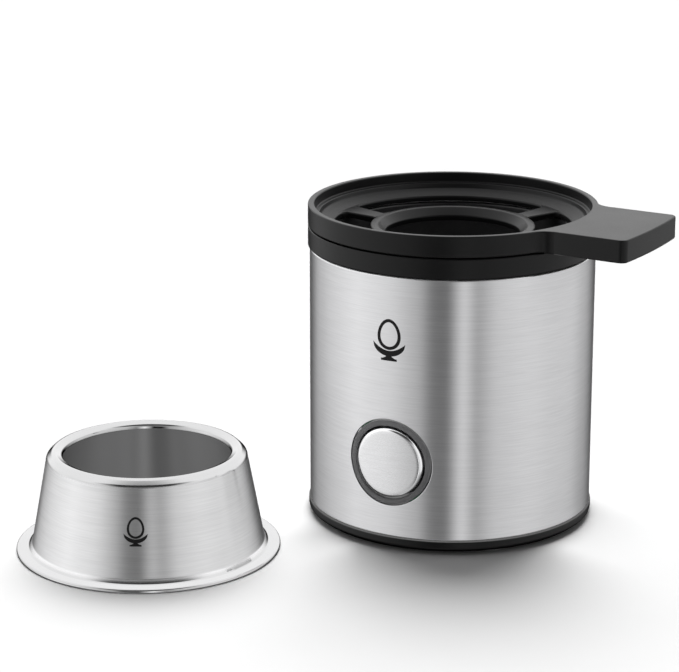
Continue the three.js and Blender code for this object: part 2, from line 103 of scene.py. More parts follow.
# ------------------------------------------------------------------ node helpers
class Nodes:
    """A node tree with one-line calls to add and link nodes."""

    def __init__(self, tree):
        self.t = tree
        self.t.nodes.clear()

    def add(self, kind, inputs=None, **props):
        n = self.t.nodes.new(kind)
        for k, v in props.items():
            setattr(n, k, v)
        for k, v in (inputs or {}).items():
            if isinstance(v, bpy.types.NodeSocket):
                self.t.links.new(v, n.inputs[k])
            else:
                n.inputs[k].default_value = v
        return n

    def math(self, op, a, b=0.0, c=None):
        n = self.add("ShaderNodeMath", operation=op)
        for i, v in enumerate([a, b] + ([] if c is None else [c])):
            if isinstance(v, bpy.types.NodeSocket):
                self.t.links.new(v, n.inputs[i])
            else:
                n.inputs[i].default_value = v
        return n.outputs[0]

    def hypot(self, a, b):
        return self.math("SQRT", self.math("ADD", self.math("MULTIPLY", a, a), self.math("MULTIPLY", b, b)))

    def ramp(self, fac, stops, interpolation="LINEAR"):
        n = self.add("ShaderNodeValToRGB", {"Fac": fac})
        r = n.color_ramp
        r.interpolation = interpolation
        while len(r.elements) > 1:
            r.elements.remove(r.elements[-1])
        for i, (p, c) in enumerate(stops):
            e = r.elements[0] if i == 0 else r.elements.new(p)
            e.position = p
            e.color = (c, c, c, 1) if isinstance(c, (int, float)) else (*c, 1)
        return n.outputs["Color"]

    def remap(self, v, lo, hi, out_lo, out_hi, kind="LINEAR"):
        n = self.add("ShaderNodeMapRange", interpolation_type=kind)
        for k, x in (("Value", v), ("From Min", lo), ("From Max", hi), ("To Min", out_lo), ("To Max", out_hi)):
            if isinstance(x, bpy.types.NodeSocket):
                self.t.links.new(x, n.inputs[k])
            else:
                n.inputs[k].default_value = x
        return n.outputs["Result"]

    def place(self, scale=(1, 1, 1), turn=(0, 0, 0), shift=(0, 0, 0)):
        c = self.add("ShaderNodeTexCoord")
        m = self.add("ShaderNodeMapping", {"Vector": c.outputs["Object"]})
        m.inputs["Scale"].default_value = scale
        m.inputs["Rotation"].default_value = turn
        m.inputs["Location"].default_value = shift
        return m.outputs["Vector"]

    def noise(self, vector, scale=1.0, detail=2.0, rough=0.5, distortion=0.0):
        n = self.add("ShaderNodeTexNoise", {"Vector": vector, "Scale": scale, "Detail": detail, "Roughness": rough, "Distortion": distortion})
        return n.outputs[0]

    def mix(self, fac, a, b, blend="MIX"):
        n = self.add("ShaderNodeMix", data_type="RGBA", blend_type=blend)
        for s, v in ((n.inputs[0], fac), (n.inputs[6], a), (n.inputs[7], b)):
            if isinstance(v, bpy.types.NodeSocket):
                self.t.links.new(v, s)
            elif s.type == "VALUE":
                s.default_value = v
            else:
                s.default_value = (v, v, v, 1) if isinstance(v, (int, float)) else (*v, 1)
        return n.outputs[2]


def shades(base, lo, hi):
    return tuple(x * lo for x in base), tuple(x * hi for x in base)


def start(name):
    m = bpy.data.materials.new(name)
    m.use_nodes = True
    n = Nodes(m.node_tree)
    b = n.add("ShaderNodeBsdfPrincipled")
    o = n.add("ShaderNodeOutputMaterial", {"Surface": b.outputs[0]})
    return m, n, b


def link(n, a, b):
    n.t.links.new(a, b)


# ------------------------------------------------------------------ materials
def brushed_steel(name, base, rough, aniso=0.9, line=4200.0, run=125.0, polish=None, tangent="Z", seed=0.0, strength=0.05, painted_light_gain=1.08, gloss=0.17, inside=None, rim=None):
    """Steel brushed in fine lines that run round the Z axis, or along X on a flat face with a UV tangent.
    polish=(z0, z1) makes the metal smoother from height z0 to z1, in metres, and paints it brighter or darker by a
    gain: painted shade below 1, a painted highlight above 1.
    inside=(x, y, r, slope, z) paints shade on the inner side of a tapered wall, darkening its colour below height z;
    rim=(z, r0, r1) polishes a round edge and paints it brighter or darker by the same gain."""
    m, n, b = start(name)
    scale = (run, run, line)
    fine = n.noise(n.place(scale, shift=(seed, seed * 0.7, 0)), 1.0, 4.0, 0.62)
    coarse = n.noise(n.place((run * 0.35, run * 0.35, line * 0.22), shift=(seed * 2, 0, 1.3)), 1.0, 2.0, 0.5)
    hair = n.noise(n.place((run * 0.5, run * 0.5, line * 2.1), shift=(0, seed, 5.1)), 1.0, 1.0, 0.5)
    cloud = n.noise(n.place((26, 26, 26)), 1.0, 2.0, 0.5)
    lines = n.math("ADD", n.math("MULTIPLY", fine, 0.75), n.math("MULTIPLY", coarse, 0.25))
    scratch = n.remap(hair, 0.66, 0.78, 0.0, 1.0)
    lo, hi = shades(base, 0.915, 1.06)
    colour = n.mix(n.remap(lines, 0.32, 0.68, 0, 1), lo, hi)
    colour = n.mix(n.math("MULTIPLY", scratch, 0.22), colour, tuple(min(1.0, x * 1.15) for x in base))
    rough_out = n.math("ADD", n.remap(lines, 0.3, 0.7, rough - 0.015, rough + 0.015), n.remap(cloud, 0.3, 0.7, -0.008, 0.008))
    height = lines
    if polish:
        pos = n.add("ShaderNodeSeparateXYZ", {"Vector": n.place()}).outputs["Z"]
        p = n.remap(pos, polish[0], polish[1], 0, 1, "SMOOTHSTEP")
        if len(polish) > 2:
            low = n.remap(pos, polish[2], polish[3], 1, 0, "SMOOTHSTEP")
            p = n.math("MAXIMUM", p, low)
    if rim:
        pos = n.add("ShaderNodeSeparateXYZ", {"Vector": n.place()})
        p = n.remap(n.hypot(pos.outputs["X"], n.math("SUBTRACT", pos.outputs["Z"], rim[0])), rim[1], rim[2], 0, 1, "SMOOTHSTEP")
    if polish or rim:
        keep = n.math("SUBTRACT", 1.0, p)
        rough_out = n.math("ADD", n.math("MULTIPLY", rough_out, keep), n.math("MULTIPLY", p, gloss))
        # Painted light: the polished band's colour is scaled up or down, painted shade on the cup's rim and foot, a
        # painted highlight on the button's bevel.
        colour = n.mix(n.math("MULTIPLY", p, 0.85), colour, tuple(min(1.0, x * painted_light_gain) for x in base))
        height = n.math("MULTIPLY", lines, keep)
    if inside:
        pos = n.add("ShaderNodeSeparateXYZ", {"Vector": n.place()})
        r = n.hypot(n.math("SUBTRACT", pos.outputs["X"], inside[0]), n.math("SUBTRACT", pos.outputs["Y"], inside[1]))
        wall = n.math("MULTIPLY_ADD", pos.outputs["Z"], inside[3], inside[2])
        painted_inner_shade = n.math("MULTIPLY", n.remap(n.math("SUBTRACT", r, wall), -0.0001, 0.0001, 1, 0), n.remap(pos.outputs["Z"], inside[4], inside[4] + 0.0006, 1, 0))
        # Painted shade: the inner side of the wall is darkened to about a third of its colour.
        colour = n.mix(painted_inner_shade, colour, tuple(x * 0.36 for x in base))
    link(n, colour, b.inputs["Base Color"])
    link(n, rough_out, b.inputs["Roughness"])
    b.inputs["Metallic"].default_value = 1.0
    b.inputs["Anisotropic"].default_value = aniso
    if tangent == "Z":
        t = n.add("ShaderNodeTangent", direction_type="RADIAL", axis="Z")
        b.inputs["Anisotropic Rotation"].default_value = 0.25
    else:
        t = n.add("ShaderNodeTangent", direction_type="UV_MAP", uv_map="UVMap")
        b.inputs["Anisotropic Rotation"].default_value = 0.25
    link(n, t.outputs["Tangent"], b.inputs["Tangent"])
    bump = n.add("ShaderNodeBump", {"Height": height, "Strength": strength, "Distance": 0.00002})
    link(n, bump.outputs["Normal"], b.inputs["Normal"])
    return m


def moulded(name, base, rough=0.42, ior=1.35, grain=3600.0, bump=0.35, vary=0.18, spread=0.07, sheen=None, subsurface=0.0):
    """Moulded plastic or rubber: a fine spark-eroded grain, slow gloss changes and faint colour variation."""
    m, n, b = start(name)
    grain_n = n.noise(n.place((grain, grain, grain)), 1.0, 3.0, 0.6)
    pits = n.add("ShaderNodeTexVoronoi", {"Vector": n.place((grain * 0.45,) * 3), "Scale": 1.0}, feature="SMOOTH_F1").outputs["Distance"]
    slow = n.noise(n.place((48, 48, 48)), 1.0, 3.0, 0.55)
    lo, hi = shades(base, 1 - vary, 1 + vary)
    colour = n.mix(n.remap(slow, 0.3, 0.7, 0, 1), lo, hi)
    colour = n.mix(n.remap(grain_n, 0.4, 0.75, 0, 0.35), colour, shades(base, 1, 1.5)[1])
    link(n, colour, b.inputs["Base Color"])
    link(n, n.math("ADD", n.remap(grain_n, 0.3, 0.7, rough - spread * 0.5, rough + spread * 0.5), n.remap(slow, 0.3, 0.7, -spread * 0.4, spread * 0.4)), b.inputs["Roughness"])
    b.inputs["IOR"].default_value = ior
    if sheen:
        b.inputs["Sheen Weight"].default_value = sheen
        b.inputs["Sheen Roughness"].default_value = 0.5
    height = n.math("ADD", n.math("MULTIPLY", grain_n, 0.6), n.math("MULTIPLY", pits, 0.4))
    bmp = n.add("ShaderNodeBump", {"Height": height, "Strength": bump, "Distance": 0.00002})
    link(n, bmp.outputs["Normal"], b.inputs["Normal"])
    return m


def metal(name, base, rough, scale=900.0, bump=0.3, vary=0.12, stretch=(1, 1, 1), aniso=0.0, stain=None):
    """Plain worked metal: zinc plate, cast aluminium, drawn tube. stain=(colour, amount) adds heat or oil marks."""
    m, n, b = start(name)
    g = n.noise(n.place(tuple(scale * s for s in stretch)), 1.0, 4.0, 0.6)
    slow = n.noise(n.place((70, 70, 70)), 1.0, 3.0, 0.6)
    lo, hi = shades(base, 1 - vary, 1 + vary)
    colour = n.mix(n.remap(g, 0.3, 0.7, 0, 1), lo, hi)
    if stain:
        colour = n.mix(n.remap(slow, 0.42, 0.72, 0, stain[1]), colour, stain[0])
    link(n, colour, b.inputs["Base Color"])
    link(n, n.math("ADD", n.remap(g, 0.3, 0.7, rough - 0.06, rough + 0.06), n.remap(slow, 0.3, 0.7, -0.05, 0.05)), b.inputs["Roughness"])
    b.inputs["Metallic"].default_value = 1.0
    b.inputs["Anisotropic"].default_value = aniso
    bmp = n.add("ShaderNodeBump", {"Height": g, "Strength": bump, "Distance": 0.00002})
    link(n, bmp.outputs["Normal"], b.inputs["Normal"])
    return m


def coated_dish(name):
    """Dark non-stick coating over turned metal: fine rings, a light fleck and a faint water line."""
    m, n, b = start(name)
    pos = n.add("ShaderNodeSeparateXYZ", {"Vector": n.place()})
    radius = n.math("POWER", n.math("ADD", n.math("MULTIPLY", pos.outputs["X"], pos.outputs["X"]), n.math("MULTIPLY", pos.outputs["Y"], pos.outputs["Y"])), 0.5)
    rings = n.math("SINE", n.math("MULTIPLY", radius, TAU / 0.00045))
    fleck = n.add("ShaderNodeTexVoronoi", {"Vector": n.place((2600, 2600, 2600)), "Scale": 1.0}).outputs["Distance"]
    fleck = n.remap(fleck, 0.06, 0.16, 1.0, 0.0)
    slow = n.noise(n.place((110, 110, 110)), 1.0, 4.0, 0.6)
    colour = n.mix(n.remap(slow, 0.3, 0.7, 0, 1), (0.022, 0.022, 0.023), (0.036, 0.036, 0.037))
    colour = n.mix(n.math("MULTIPLY", fleck, 0.55), colour, (0.20, 0.20, 0.20))
    line = n.remap(n.math("ABSOLUTE", n.math("SUBTRACT", pos.outputs["Z"], n.math("ADD", 0.0562, n.remap(slow, 0.3, 0.7, -0.0004, 0.0004)))), 0.0, 0.0005, 0.25, 0.0)
    colour = n.mix(line, colour, (0.13, 0.125, 0.115))
    link(n, colour, b.inputs["Base Color"])
    link(n, n.math("ADD", n.remap(slow, 0.3, 0.7, 0.30, 0.42), n.math("MULTIPLY", line, 0.8)), b.inputs["Roughness"])
    b.inputs["IOR"].default_value = 1.45
    bmp = n.add("ShaderNodeBump", {"Height": n.math("ADD", n.math("MULTIPLY", rings, 0.35), n.math("MULTIPLY", slow, 0.6)), "Strength": 0.22, "Distance": 0.00002})
    link(n, bmp.outputs["Normal"], b.inputs["Normal"])
    return m


def printed(name):
    """Black screen-printed ink: slightly uneven, with a fine grain."""
    m, n, b = start(name)
    g = n.noise(n.place((5200, 5200, 5200)), 1.0, 3.0, 0.6)
    link(n, n.mix(n.remap(g, 0.3, 0.7, 0, 1), (0.003, 0.003, 0.003), (0.008, 0.008, 0.0085)), b.inputs["Base Color"])
    link(n, n.remap(g, 0.3, 0.7, 0.42, 0.58), b.inputs["Roughness"])
    b.inputs["IOR"].default_value = 1.3
    bmp = n.add("ShaderNodeBump", {"Height": g, "Strength": 0.25, "Distance": 0.00001})
    link(n, bmp.outputs["Normal"], b.inputs["Normal"])
    return m


def smoked(name):
    """Smoked translucent plastic of the light ring."""
    m, n, b = start(name)
    slow = n.noise(n.place((240, 240, 240)), 1.0, 3.0, 0.6)
    g = n.noise(n.place((5200, 5200, 5200)), 1.0, 2.0, 0.5)
    link(n, n.mix(n.remap(slow, 0.3, 0.7, 0, 1), (0.140, 0.140, 0.144), (0.182, 0.182, 0.186)), b.inputs["Base Color"])
    link(n, n.remap(g, 0.3, 0.7, 0.30, 0.38), b.inputs["Roughness"])
    b.inputs["IOR"].default_value = 1.45
    b.inputs["Subsurface Weight"].default_value = 0.15
    b.inputs["Subsurface Radius"].default_value = (0.0006, 0.0006, 0.0006)
    b.inputs["Subsurface Scale"].default_value = 0.5
    bmp = n.add("ShaderNodeBump", {"Height": g, "Strength": 0.12, "Distance": 0.00001})
    link(n, bmp.outputs["Normal"], b.inputs["Normal"])
    return m


def circuit(name):
    """Green solder mask over a grid of copper tracks."""
    m, n, b = start(name)
    v = n.place((420, 420, 420), turn=(rad(90), 0, 0))
    brick = n.add("ShaderNodeTexBrick", {"Vector": v, "Scale": 1.0, "Mortar Size": 0.09, "Mortar Smooth": 0.2, "Brick Width": 1.9, "Row Height": 0.55})
    fac = brick.outputs["Fac"]
    dots = n.add("ShaderNodeTexVoronoi", {"Vector": n.place((900, 900, 900)), "Scale": 1.0}).outputs["Distance"]
    dots = n.remap(dots, 0.16, 0.20, 1.0, 0.0)
    slow = n.noise(n.place((150, 150, 150)), 1.0, 3.0, 0.6)
    colour = n.mix(n.remap(slow, 0.3, 0.7, 0, 1), (0.012, 0.11, 0.05), (0.02, 0.17, 0.08))
    colour = n.mix(n.math("MULTIPLY", fac, 0.75), colour, (0.05, 0.30, 0.12))
    colour = n.mix(n.math("MULTIPLY", dots, 0.8), colour, (0.55, 0.53, 0.48))
    link(n, colour, b.inputs["Base Color"])
    link(n, n.remap(dots, 0, 1, 0.42, 0.28), b.inputs["Roughness"])
    bmp = n.add("ShaderNodeBump", {"Height": n.math("ADD", fac, dots), "Strength": 0.4, "Distance": 0.00003})
    link(n, bmp.outputs["Normal"], b.inputs["Normal"])
    return m


def striped(name, a, c, scale):
    """Two-colour insulation in a spiral stripe."""
    m, n, b = start(name)
    v = n.place((scale, scale, scale), turn=(0.6, 0.4, 0.2))
    w = n.add("ShaderNodeTexWave", {"Vector": v, "Scale": 1.0, "Distortion": 0.0}, wave_type="BANDS", bands_direction="DIAGONAL").outputs["Fac"]
    g = n.noise(n.place((3800, 3800, 3800)), 1.0, 2.0, 0.5)
    link(n, n.mix(n.remap(w, 0.46, 0.54, 0, 1), a, c), b.inputs["Base Color"])
    link(n, n.remap(g, 0.3, 0.7, 0.42, 0.55), b.inputs["Roughness"])
    bmp = n.add("ShaderNodeBump", {"Height": g, "Strength": 0.2, "Distance": 0.00001})
    link(n, bmp.outputs["Normal"], b.inputs["Normal"])
    return m


MAT = {
    "shell": brushed_steel("brushed_shell", (0.70, 0.70, 0.71), 0.30),
    # The cup gets painted shade: its rim and foot bands are darkened, and its inner wall is darkened to about a third.
    "cup": brushed_steel("pressed_cup", (0.70, 0.70, 0.705), 0.30, run=110.0, line=3800.0, polish=(0.0207, 0.0213, 0.0011, 0.0018), painted_light_gain=0.72, gloss=0.11, inside=(-0.048, -0.054, 0.02561, -0.188, 0.0208), seed=3.7),
    # The button cap's polished bevel gets a painted highlight: its colour is brightened.
    "cap": brushed_steel("button_metal", (0.76, 0.76, 0.77), 0.27, run=260.0, line=5200.0, tangent="UV", seed=8.1, strength=0.03, painted_light_gain=1.15, gloss=0.12, rim=(BUTTON_Z / 1000, 0.00715, 0.0073)),
    "black": moulded("black_plastic", (0.0040, 0.0040, 0.0042), 0.34, 1.30, bump=0.22),
    "bezel": smoked("light_ring"),
    "rubber": moulded("rubber", (0.022, 0.022, 0.022), 0.72, 1.42, grain=1800.0, bump=0.5, sheen=0.15),
    "silicone": moulded("silicone", (0.30, 0.31, 0.32), 0.55, 1.42, grain=1500.0, bump=0.2),
    "dish": coated_dish("dish_coating"),
    "aluminium": metal("aluminium", (0.62, 0.63, 0.64), 0.42, scale=1300.0, bump=0.5),
    "element": metal("element_steel", (0.30, 0.29, 0.28), 0.42, scale=1600.0, stretch=(1, 1, 0.4), stain=((0.16, 0.10, 0.07), 0.6)),
    "zinc": metal("zinc", (0.55, 0.56, 0.58), 0.34, scale=1100.0, stain=((0.62, 0.58, 0.44), 0.25)),
    "spring": metal("spring_steel", (0.42, 0.42, 0.43), 0.30, scale=2400.0, bump=0.2),
    "phenolic": moulded("phenolic", (0.095, 0.042, 0.02), 0.45, 1.5, vary=0.3, grain=2200.0),
    "white": moulded("inner_white", (0.72, 0.71, 0.66), 0.48, 1.46, vary=0.04, bump=0.2),
    "board": circuit("board"),
    "relay": moulded("relay_blue", (0.02, 0.07, 0.30), 0.30, 1.5, vary=0.1, bump=0.12),
    "capacitor": moulded("capacitor_yellow", (0.55, 0.40, 0.035), 0.34, 1.5, vary=0.1, bump=0.15),
    "led": moulded("led_red", (0.50, 0.02, 0.015), 0.16, 1.5, vary=0.06, bump=0.03),
    "brown": moulded("wire_brown", (0.13, 0.05, 0.02), 0.5, 1.45, vary=0.1, bump=0.15),
    "blue": moulded("wire_blue", (0.015, 0.07, 0.36), 0.5, 1.45, vary=0.1, bump=0.15),
    "earth": striped("wire_earth", (0.05, 0.30, 0.05), (0.62, 0.55, 0.03), 700.0),
    "red": moulded("wire_red", (0.40, 0.018, 0.015), 0.5, 1.42, vary=0.1, bump=0.15),
    "ink": printed("printed_ink"),
}


# ------------------------------------------------------------------ shape helpers
def rounded(points, closed=True, step=15.0):
    """A polyline with its corners rounded: each point is (a, b) or (a, b, radius)."""
    out, n = [], len(points)
    for i, p in enumerate(points):
        r = p[2] if len(p) > 2 else 0.0
        c = Vector(p[:2])
        if r <= 0 or (not closed and i in (0, n - 1)):
            out.append((c.x, c.y))
            continue
        u, v = Vector(points[i - 1][:2]) - c, Vector(points[(i + 1) % n][:2]) - c
        lu, lv = u.length, v.length
        u.normalize(); v.normalize()
        inner = math.acos(max(-1.0, min(1.0, u.dot(v))))
        if inner > math.pi - 0.02:
            out.append((c.x, c.y))
            continue
        t = min(r / math.tan(inner / 2), 0.47 * lu, 0.47 * lv)
        rr = t * math.tan(inner / 2)
        a, b = c + u * t, c + v * t
        o = c + (u + v).normalized() * (rr / math.sin(inner / 2))
        a0 = math.atan2(a.y - o.y, a.x - o.x)
        turn = math.atan2(b.y - o.y, b.x - o.x) - a0
        turn = (turn + math.pi) % TAU - math.pi
        k = max(2, int(math.ceil(abs(math.degrees(turn)) / step)))
        out += [(o.x + rr * math.cos(a0 + turn * j / k), o.y + rr * math.sin(a0 + turn * j / k)) for j in range(k + 1)]
    return out


def mesh_object(name, verts, faces):
    me = bpy.data.meshes.new(name)
    me.from_pydata([tuple(v) for v in verts], [], faces)
    ob = bpy.data.objects.new(name, me)
    scene.collection.objects.link(ob)
    clean(ob)
    return ob


def clean(ob, dist=2e-4):
    bm = bmesh.new()
    bm.from_mesh(ob.data)
    bmesh.ops.remove_doubles(bm, verts=bm.verts, dist=dist)
    bmesh.ops.dissolve_degenerate(bm, edges=bm.edges, dist=dist)
    bmesh.ops.recalc_face_normals(bm, faces=bm.faces)
    bm.to_mesh(ob.data)
    bm.free()
    ob.data.update()


def grid(name, rings, loop_rings):
    """Quads between rings of points; a ring of one point is a pole."""
    verts, index = [], []
    for ring in rings:
        index.append(list(range(len(verts), len(verts) + len(ring))))
        verts += ring
    faces = []
    for i in range(len(rings) if loop_rings else len(rings) - 1):
        a, b = index[i], index[(i + 1) % len(rings)]
        n = max(len(a), len(b))
        if n == 1:
            continue
        for k in range(n):
            k2 = (k + 1) % n
            if len(a) == 1:
                faces.append((a[0], b[k], b[k2]))
            elif len(b) == 1:
                faces.append((a[k], b[0], a[k2]))
            else:
                faces.append((a[k], a[k2], b[k2], b[k]))
    return mesh_object(name, verts, faces)


def lathe(name, profile, seg=192, at=(0, 0, 0), axis="Z", start_angle=0.0):
    """A turned solid. The profile is [r, z] about Z, or [r, y] about a line along Y, [r, x] along X, through at.
    It starts and ends on the axis, or closes on itself."""
    rings = []
    for r, h in profile:
        if r < 1e-6:
            ring = [(0.0, 0.0, h)]
        else:
            ring = [(r * math.cos(TAU * k / seg + start_angle), r * math.sin(TAU * k / seg + start_angle), h) for k in range(seg)]
        if axis == "Y":
            ring = [(x, z, y) for x, y, z in ring]
        if axis == "X":
            ring = [(z, x, y) for x, y, z in ring]
        rings.append([(x + at[0], y + at[1], z + at[2]) for x, y, z in ring])
    return grid(name, rings, profile[0][0] > 1e-6 and profile[-1][0] > 1e-6)


def block(name, x0, x1, y0, y1, z0, z1):
    return mesh_object(name, [(x, y, z) for z in (z0, z1) for y in (y0, y1) for x in (x0, x1)],
                       [(0, 2, 3, 1), (4, 5, 7, 6), (0, 1, 5, 4), (2, 6, 7, 3), (0, 4, 6, 2), (1, 3, 7, 5)])


def prism(name, outline, levels):
    """A closed outline lofted through levels of (offset, z) or functions of the point; offset grows the outline."""
    n = len(outline)
    pts = [Vector(p) for p in outline]
    normals = []
    for i in range(n):
        d = (pts[(i + 1) % n] - pts[i - 1]).normalized()
        normals.append(Vector((d.y, -d.x)))
    rings = []
    for off, z in levels:
        ring = []
        for p, m in zip(pts, normals):
            q = p + m * off
            ring.append((q.x, q.y, z(q) if callable(z) else z))
        rings.append(ring)
    verts = [v for ring in rings for v in ring]
    faces = []
    for i in range(len(rings) - 1):
        for k in range(n):
            k2 = (k + 1) % n
            faces.append((i * n + k, i * n + k2, (i + 1) * n + k2, (i + 1) * n + k))
    faces.append(tuple(reversed(range(n))))
    faces.append(tuple(range((len(rings) - 1) * n, len(rings) * n)))
    return mesh_object(name, verts, faces)


def combine(ob, others, operation):
    """Boolean with each of the others, which are used up."""
    for other in others:
        m = ob.modifiers.new("cut", "BOOLEAN")
        m.operation, m.object, m.solver = operation, other, "EXACT"
        bpy.context.view_layer.update()
        made = bpy.data.meshes.new_from_object(ob.evaluated_get(bpy.context.evaluated_depsgraph_get()))
        ob.modifiers.remove(m)
        old, ob.data = ob.data, made
        bpy.data.meshes.remove(old)
        bpy.data.objects.remove(other, do_unlink=True)
    clean(ob, 1e-4)
    return ob


def join(obs, name):
    """Several separate solids as one object."""
    bm = bmesh.new()
    for o in obs:
        bm.from_mesh(o.data)
        bpy.data.objects.remove(o, do_unlink=True)
    me = bpy.data.meshes.new(name)
    bm.to_mesh(me)
    bm.free()
    ob = bpy.data.objects.new(name, me)
    scene.collection.objects.link(ob)
    return ob


def path_points(points, steps):
    """Points along a centripetal Catmull-Rom curve."""
    p = [Vector(q) for q in points]
    p = [p[0] * 2 - p[1]] + p + [p[-1] * 2 - p[-2]]
    out = []
    for i in range(1, len(p) - 2):
        a, b, c, d = p[i - 1], p[i], p[i + 1], p[i + 2]
        t0 = 0.0
        t1 = t0 + max(1e-6, (b - a).length) ** 0.5
        t2 = t1 + max(1e-6, (c - b).length) ** 0.5
        t3 = t2 + max(1e-6, (d - c).length) ** 0.5
        for k in range(steps):
            t = t1 + (t2 - t1) * k / steps
            a1 = a * ((t1 - t) / (t1 - t0)) + b * ((t - t0) / (t1 - t0))
            a2 = b * ((t2 - t) / (t2 - t1)) + c * ((t - t1) / (t2 - t1))
            a3 = c * ((t3 - t) / (t3 - t2)) + d * ((t - t2) / (t3 - t2))
            b1 = a1 * ((t2 - t) / (t2 - t0)) + a2 * ((t - t0) / (t2 - t0))
            b2 = a2 * ((t3 - t) / (t3 - t1)) + a3 * ((t - t1) / (t3 - t1))
            out.append(b1 * ((t2 - t) / (t2 - t1)) + b2 * ((t - t1) / (t2 - t1)))
    out.append(p[-2])
    return out


def tube(name, path, r, sides=16, end=0.3):
    """A round bar along a path, with its end edges rounded."""
    p = [Vector(q) for q in path]
    tangents = [(p[min(i + 1, len(p) - 1)] - p[max(i - 1, 0)]).normalized() for i in range(len(p))]
    side = tangents[0].cross(Vector((0, 0, 1)))
    if side.length < 0.1:
        side = tangents[0].cross(Vector((1, 0, 0)))
    side.normalize()
    rings = []
    e = min(end, r * 0.5)

    def ring(c, t, s, rad_):
        o = t.cross(s)
        return [tuple(c + (s * math.cos(TAU * k / sides) + o * math.sin(TAU * k / sides)) * rad_) for k in range(sides)]

    for i, (c, t) in enumerate(zip(p, tangents)):
        side = (side - t * side.dot(t)).normalized()
        if i == 0:
            rings.append([tuple(c)])
            for a in (0, 30, 60, 90):
                rings.append(ring(c + t * e * (1 - math.sin(rad(a))), t, side, r - e + e * math.sin(rad(a))) if a else ring(c, t, side, r - e))
            rings[1:] = [ring(c + t * (e - e * math.cos(rad(a))), t, side, r - e + e * math.sin(rad(a))) for a in (0, 30, 60, 90)]
        elif i == len(p) - 1:
            rings += [ring(c - t * (e - e * math.cos(rad(a))), t, side, r - e + e * math.sin(rad(a))) for a in (90, 60, 30, 0)]
            rings.append([tuple(c)])
        else:
            rings.append(ring(c, t, side, r))
    return grid(name, rings, False)


DONE = []


def piece(ob, body, mat, slot, *nodes, sharp=34.0, weighted=True):
    """Scales a finished shape to metres, smooths it, and puts it on its body in place of its CAD nodes."""
    ob.data.transform(Matrix.Scale(0.001, 4))
    ob.data.materials.clear()
    ob.data.materials.append(MAT[mat])
    for poly in ob.data.polygons:
        poly.use_smooth = True
    ob.data.set_sharp_from_angle(angle=rad(sharp))
    if weighted:
        w = ob.modifiers.new("normals", "WEIGHTED_NORMAL")
        w.keep_sharp, w.weight, w.mode = True, 60, "FACE_AREA"
    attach(ob, body)
    if nodes:
        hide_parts(*nodes)
    DONE.append(ob)
    return ob


def spin(ob, degrees, about=(0, 0, 0)):
    c = Vector(about)
    ob.data.transform(Matrix.Translation(c) @ Matrix.Rotation(rad(degrees), 4, "Z") @ Matrix.Translation(-c))
    return ob


# ------------------------------------------------------------------ brushed shell
def flared_hole(name, r, y_in, y_out, z, front, flare=0.16, n=96):
    """A cutter along Y whose edge is eased where it leaves the shell's outer face. front is -1 or 1."""
    def skin(x):
        return front * math.sqrt(max(0.0, SHELL_R ** 2 - x * x))
    rings = []
    for dr, dy in ((0, None), (0, -flare), (flare * 0.3, -flare * 0.35), (flare, 0.012), (flare, "out")):
        ring = []
        for k in range(n):
            a = TAU * k / n
            x, h = (r + dr) * math.cos(a), (r + dr) * math.sin(a)
            if dy is None:
                y = y_in
            elif dy == "out":
                y = y_out
            else:
                y = skin(x) + front * dy
            ring.append((x, y, z + h))
        rings.append(ring)
    rings = [[(0, y_in, z)]] + rings + [[(0, y_out, z)]]
    return grid(name, rings, False)


def shell():
    r, ri = SHELL_R, SHELL_R - 0.6
    prof = rounded([(ri, 3.2, 0.12), (r, 3.2, 0.25), (r, 61.95, 0.25), (ri, 61.95, 0.12)], step=18)
    ob = lathe("sleeve_brushed", prof, 320)
    combine(ob, [flared_hole("h1", 9.85, -25.0, -36.0, BUTTON_Z, -1), flared_hole("h2", 5.0, 25.0, 36.0, CORD_Z, 1)], "DIFFERENCE")
    piece(ob, "body", "shell", "brushed_shell", "steel_sleeve", weighted=False)
    # The rolled wall's normals point straight out from the axis, whatever cuts the holes made in its faces.
    me = ob.data
    normals = [Vector(c.vector) for c in me.corner_normals]
    for p in me.polygons:
        flat = Vector((p.center.x, p.center.y, 0))
        rc = flat.length * 1000
        if abs(p.normal.z) > 0.02 or abs(abs(p.normal.dot(flat.normalized())) - 1) > 0.0008 or 31.5 < rc < 31.9:
            continue
        s = 1 if rc > 31.9 else -1
        for li in p.loop_indices:
            v = me.vertices[me.loops[li].vertex_index].co
            normals[li] = Vector((v.x, v.y, 0)).normalized() * s
    me.normals_split_custom_set([tuple(v) for v in normals])
    return ob


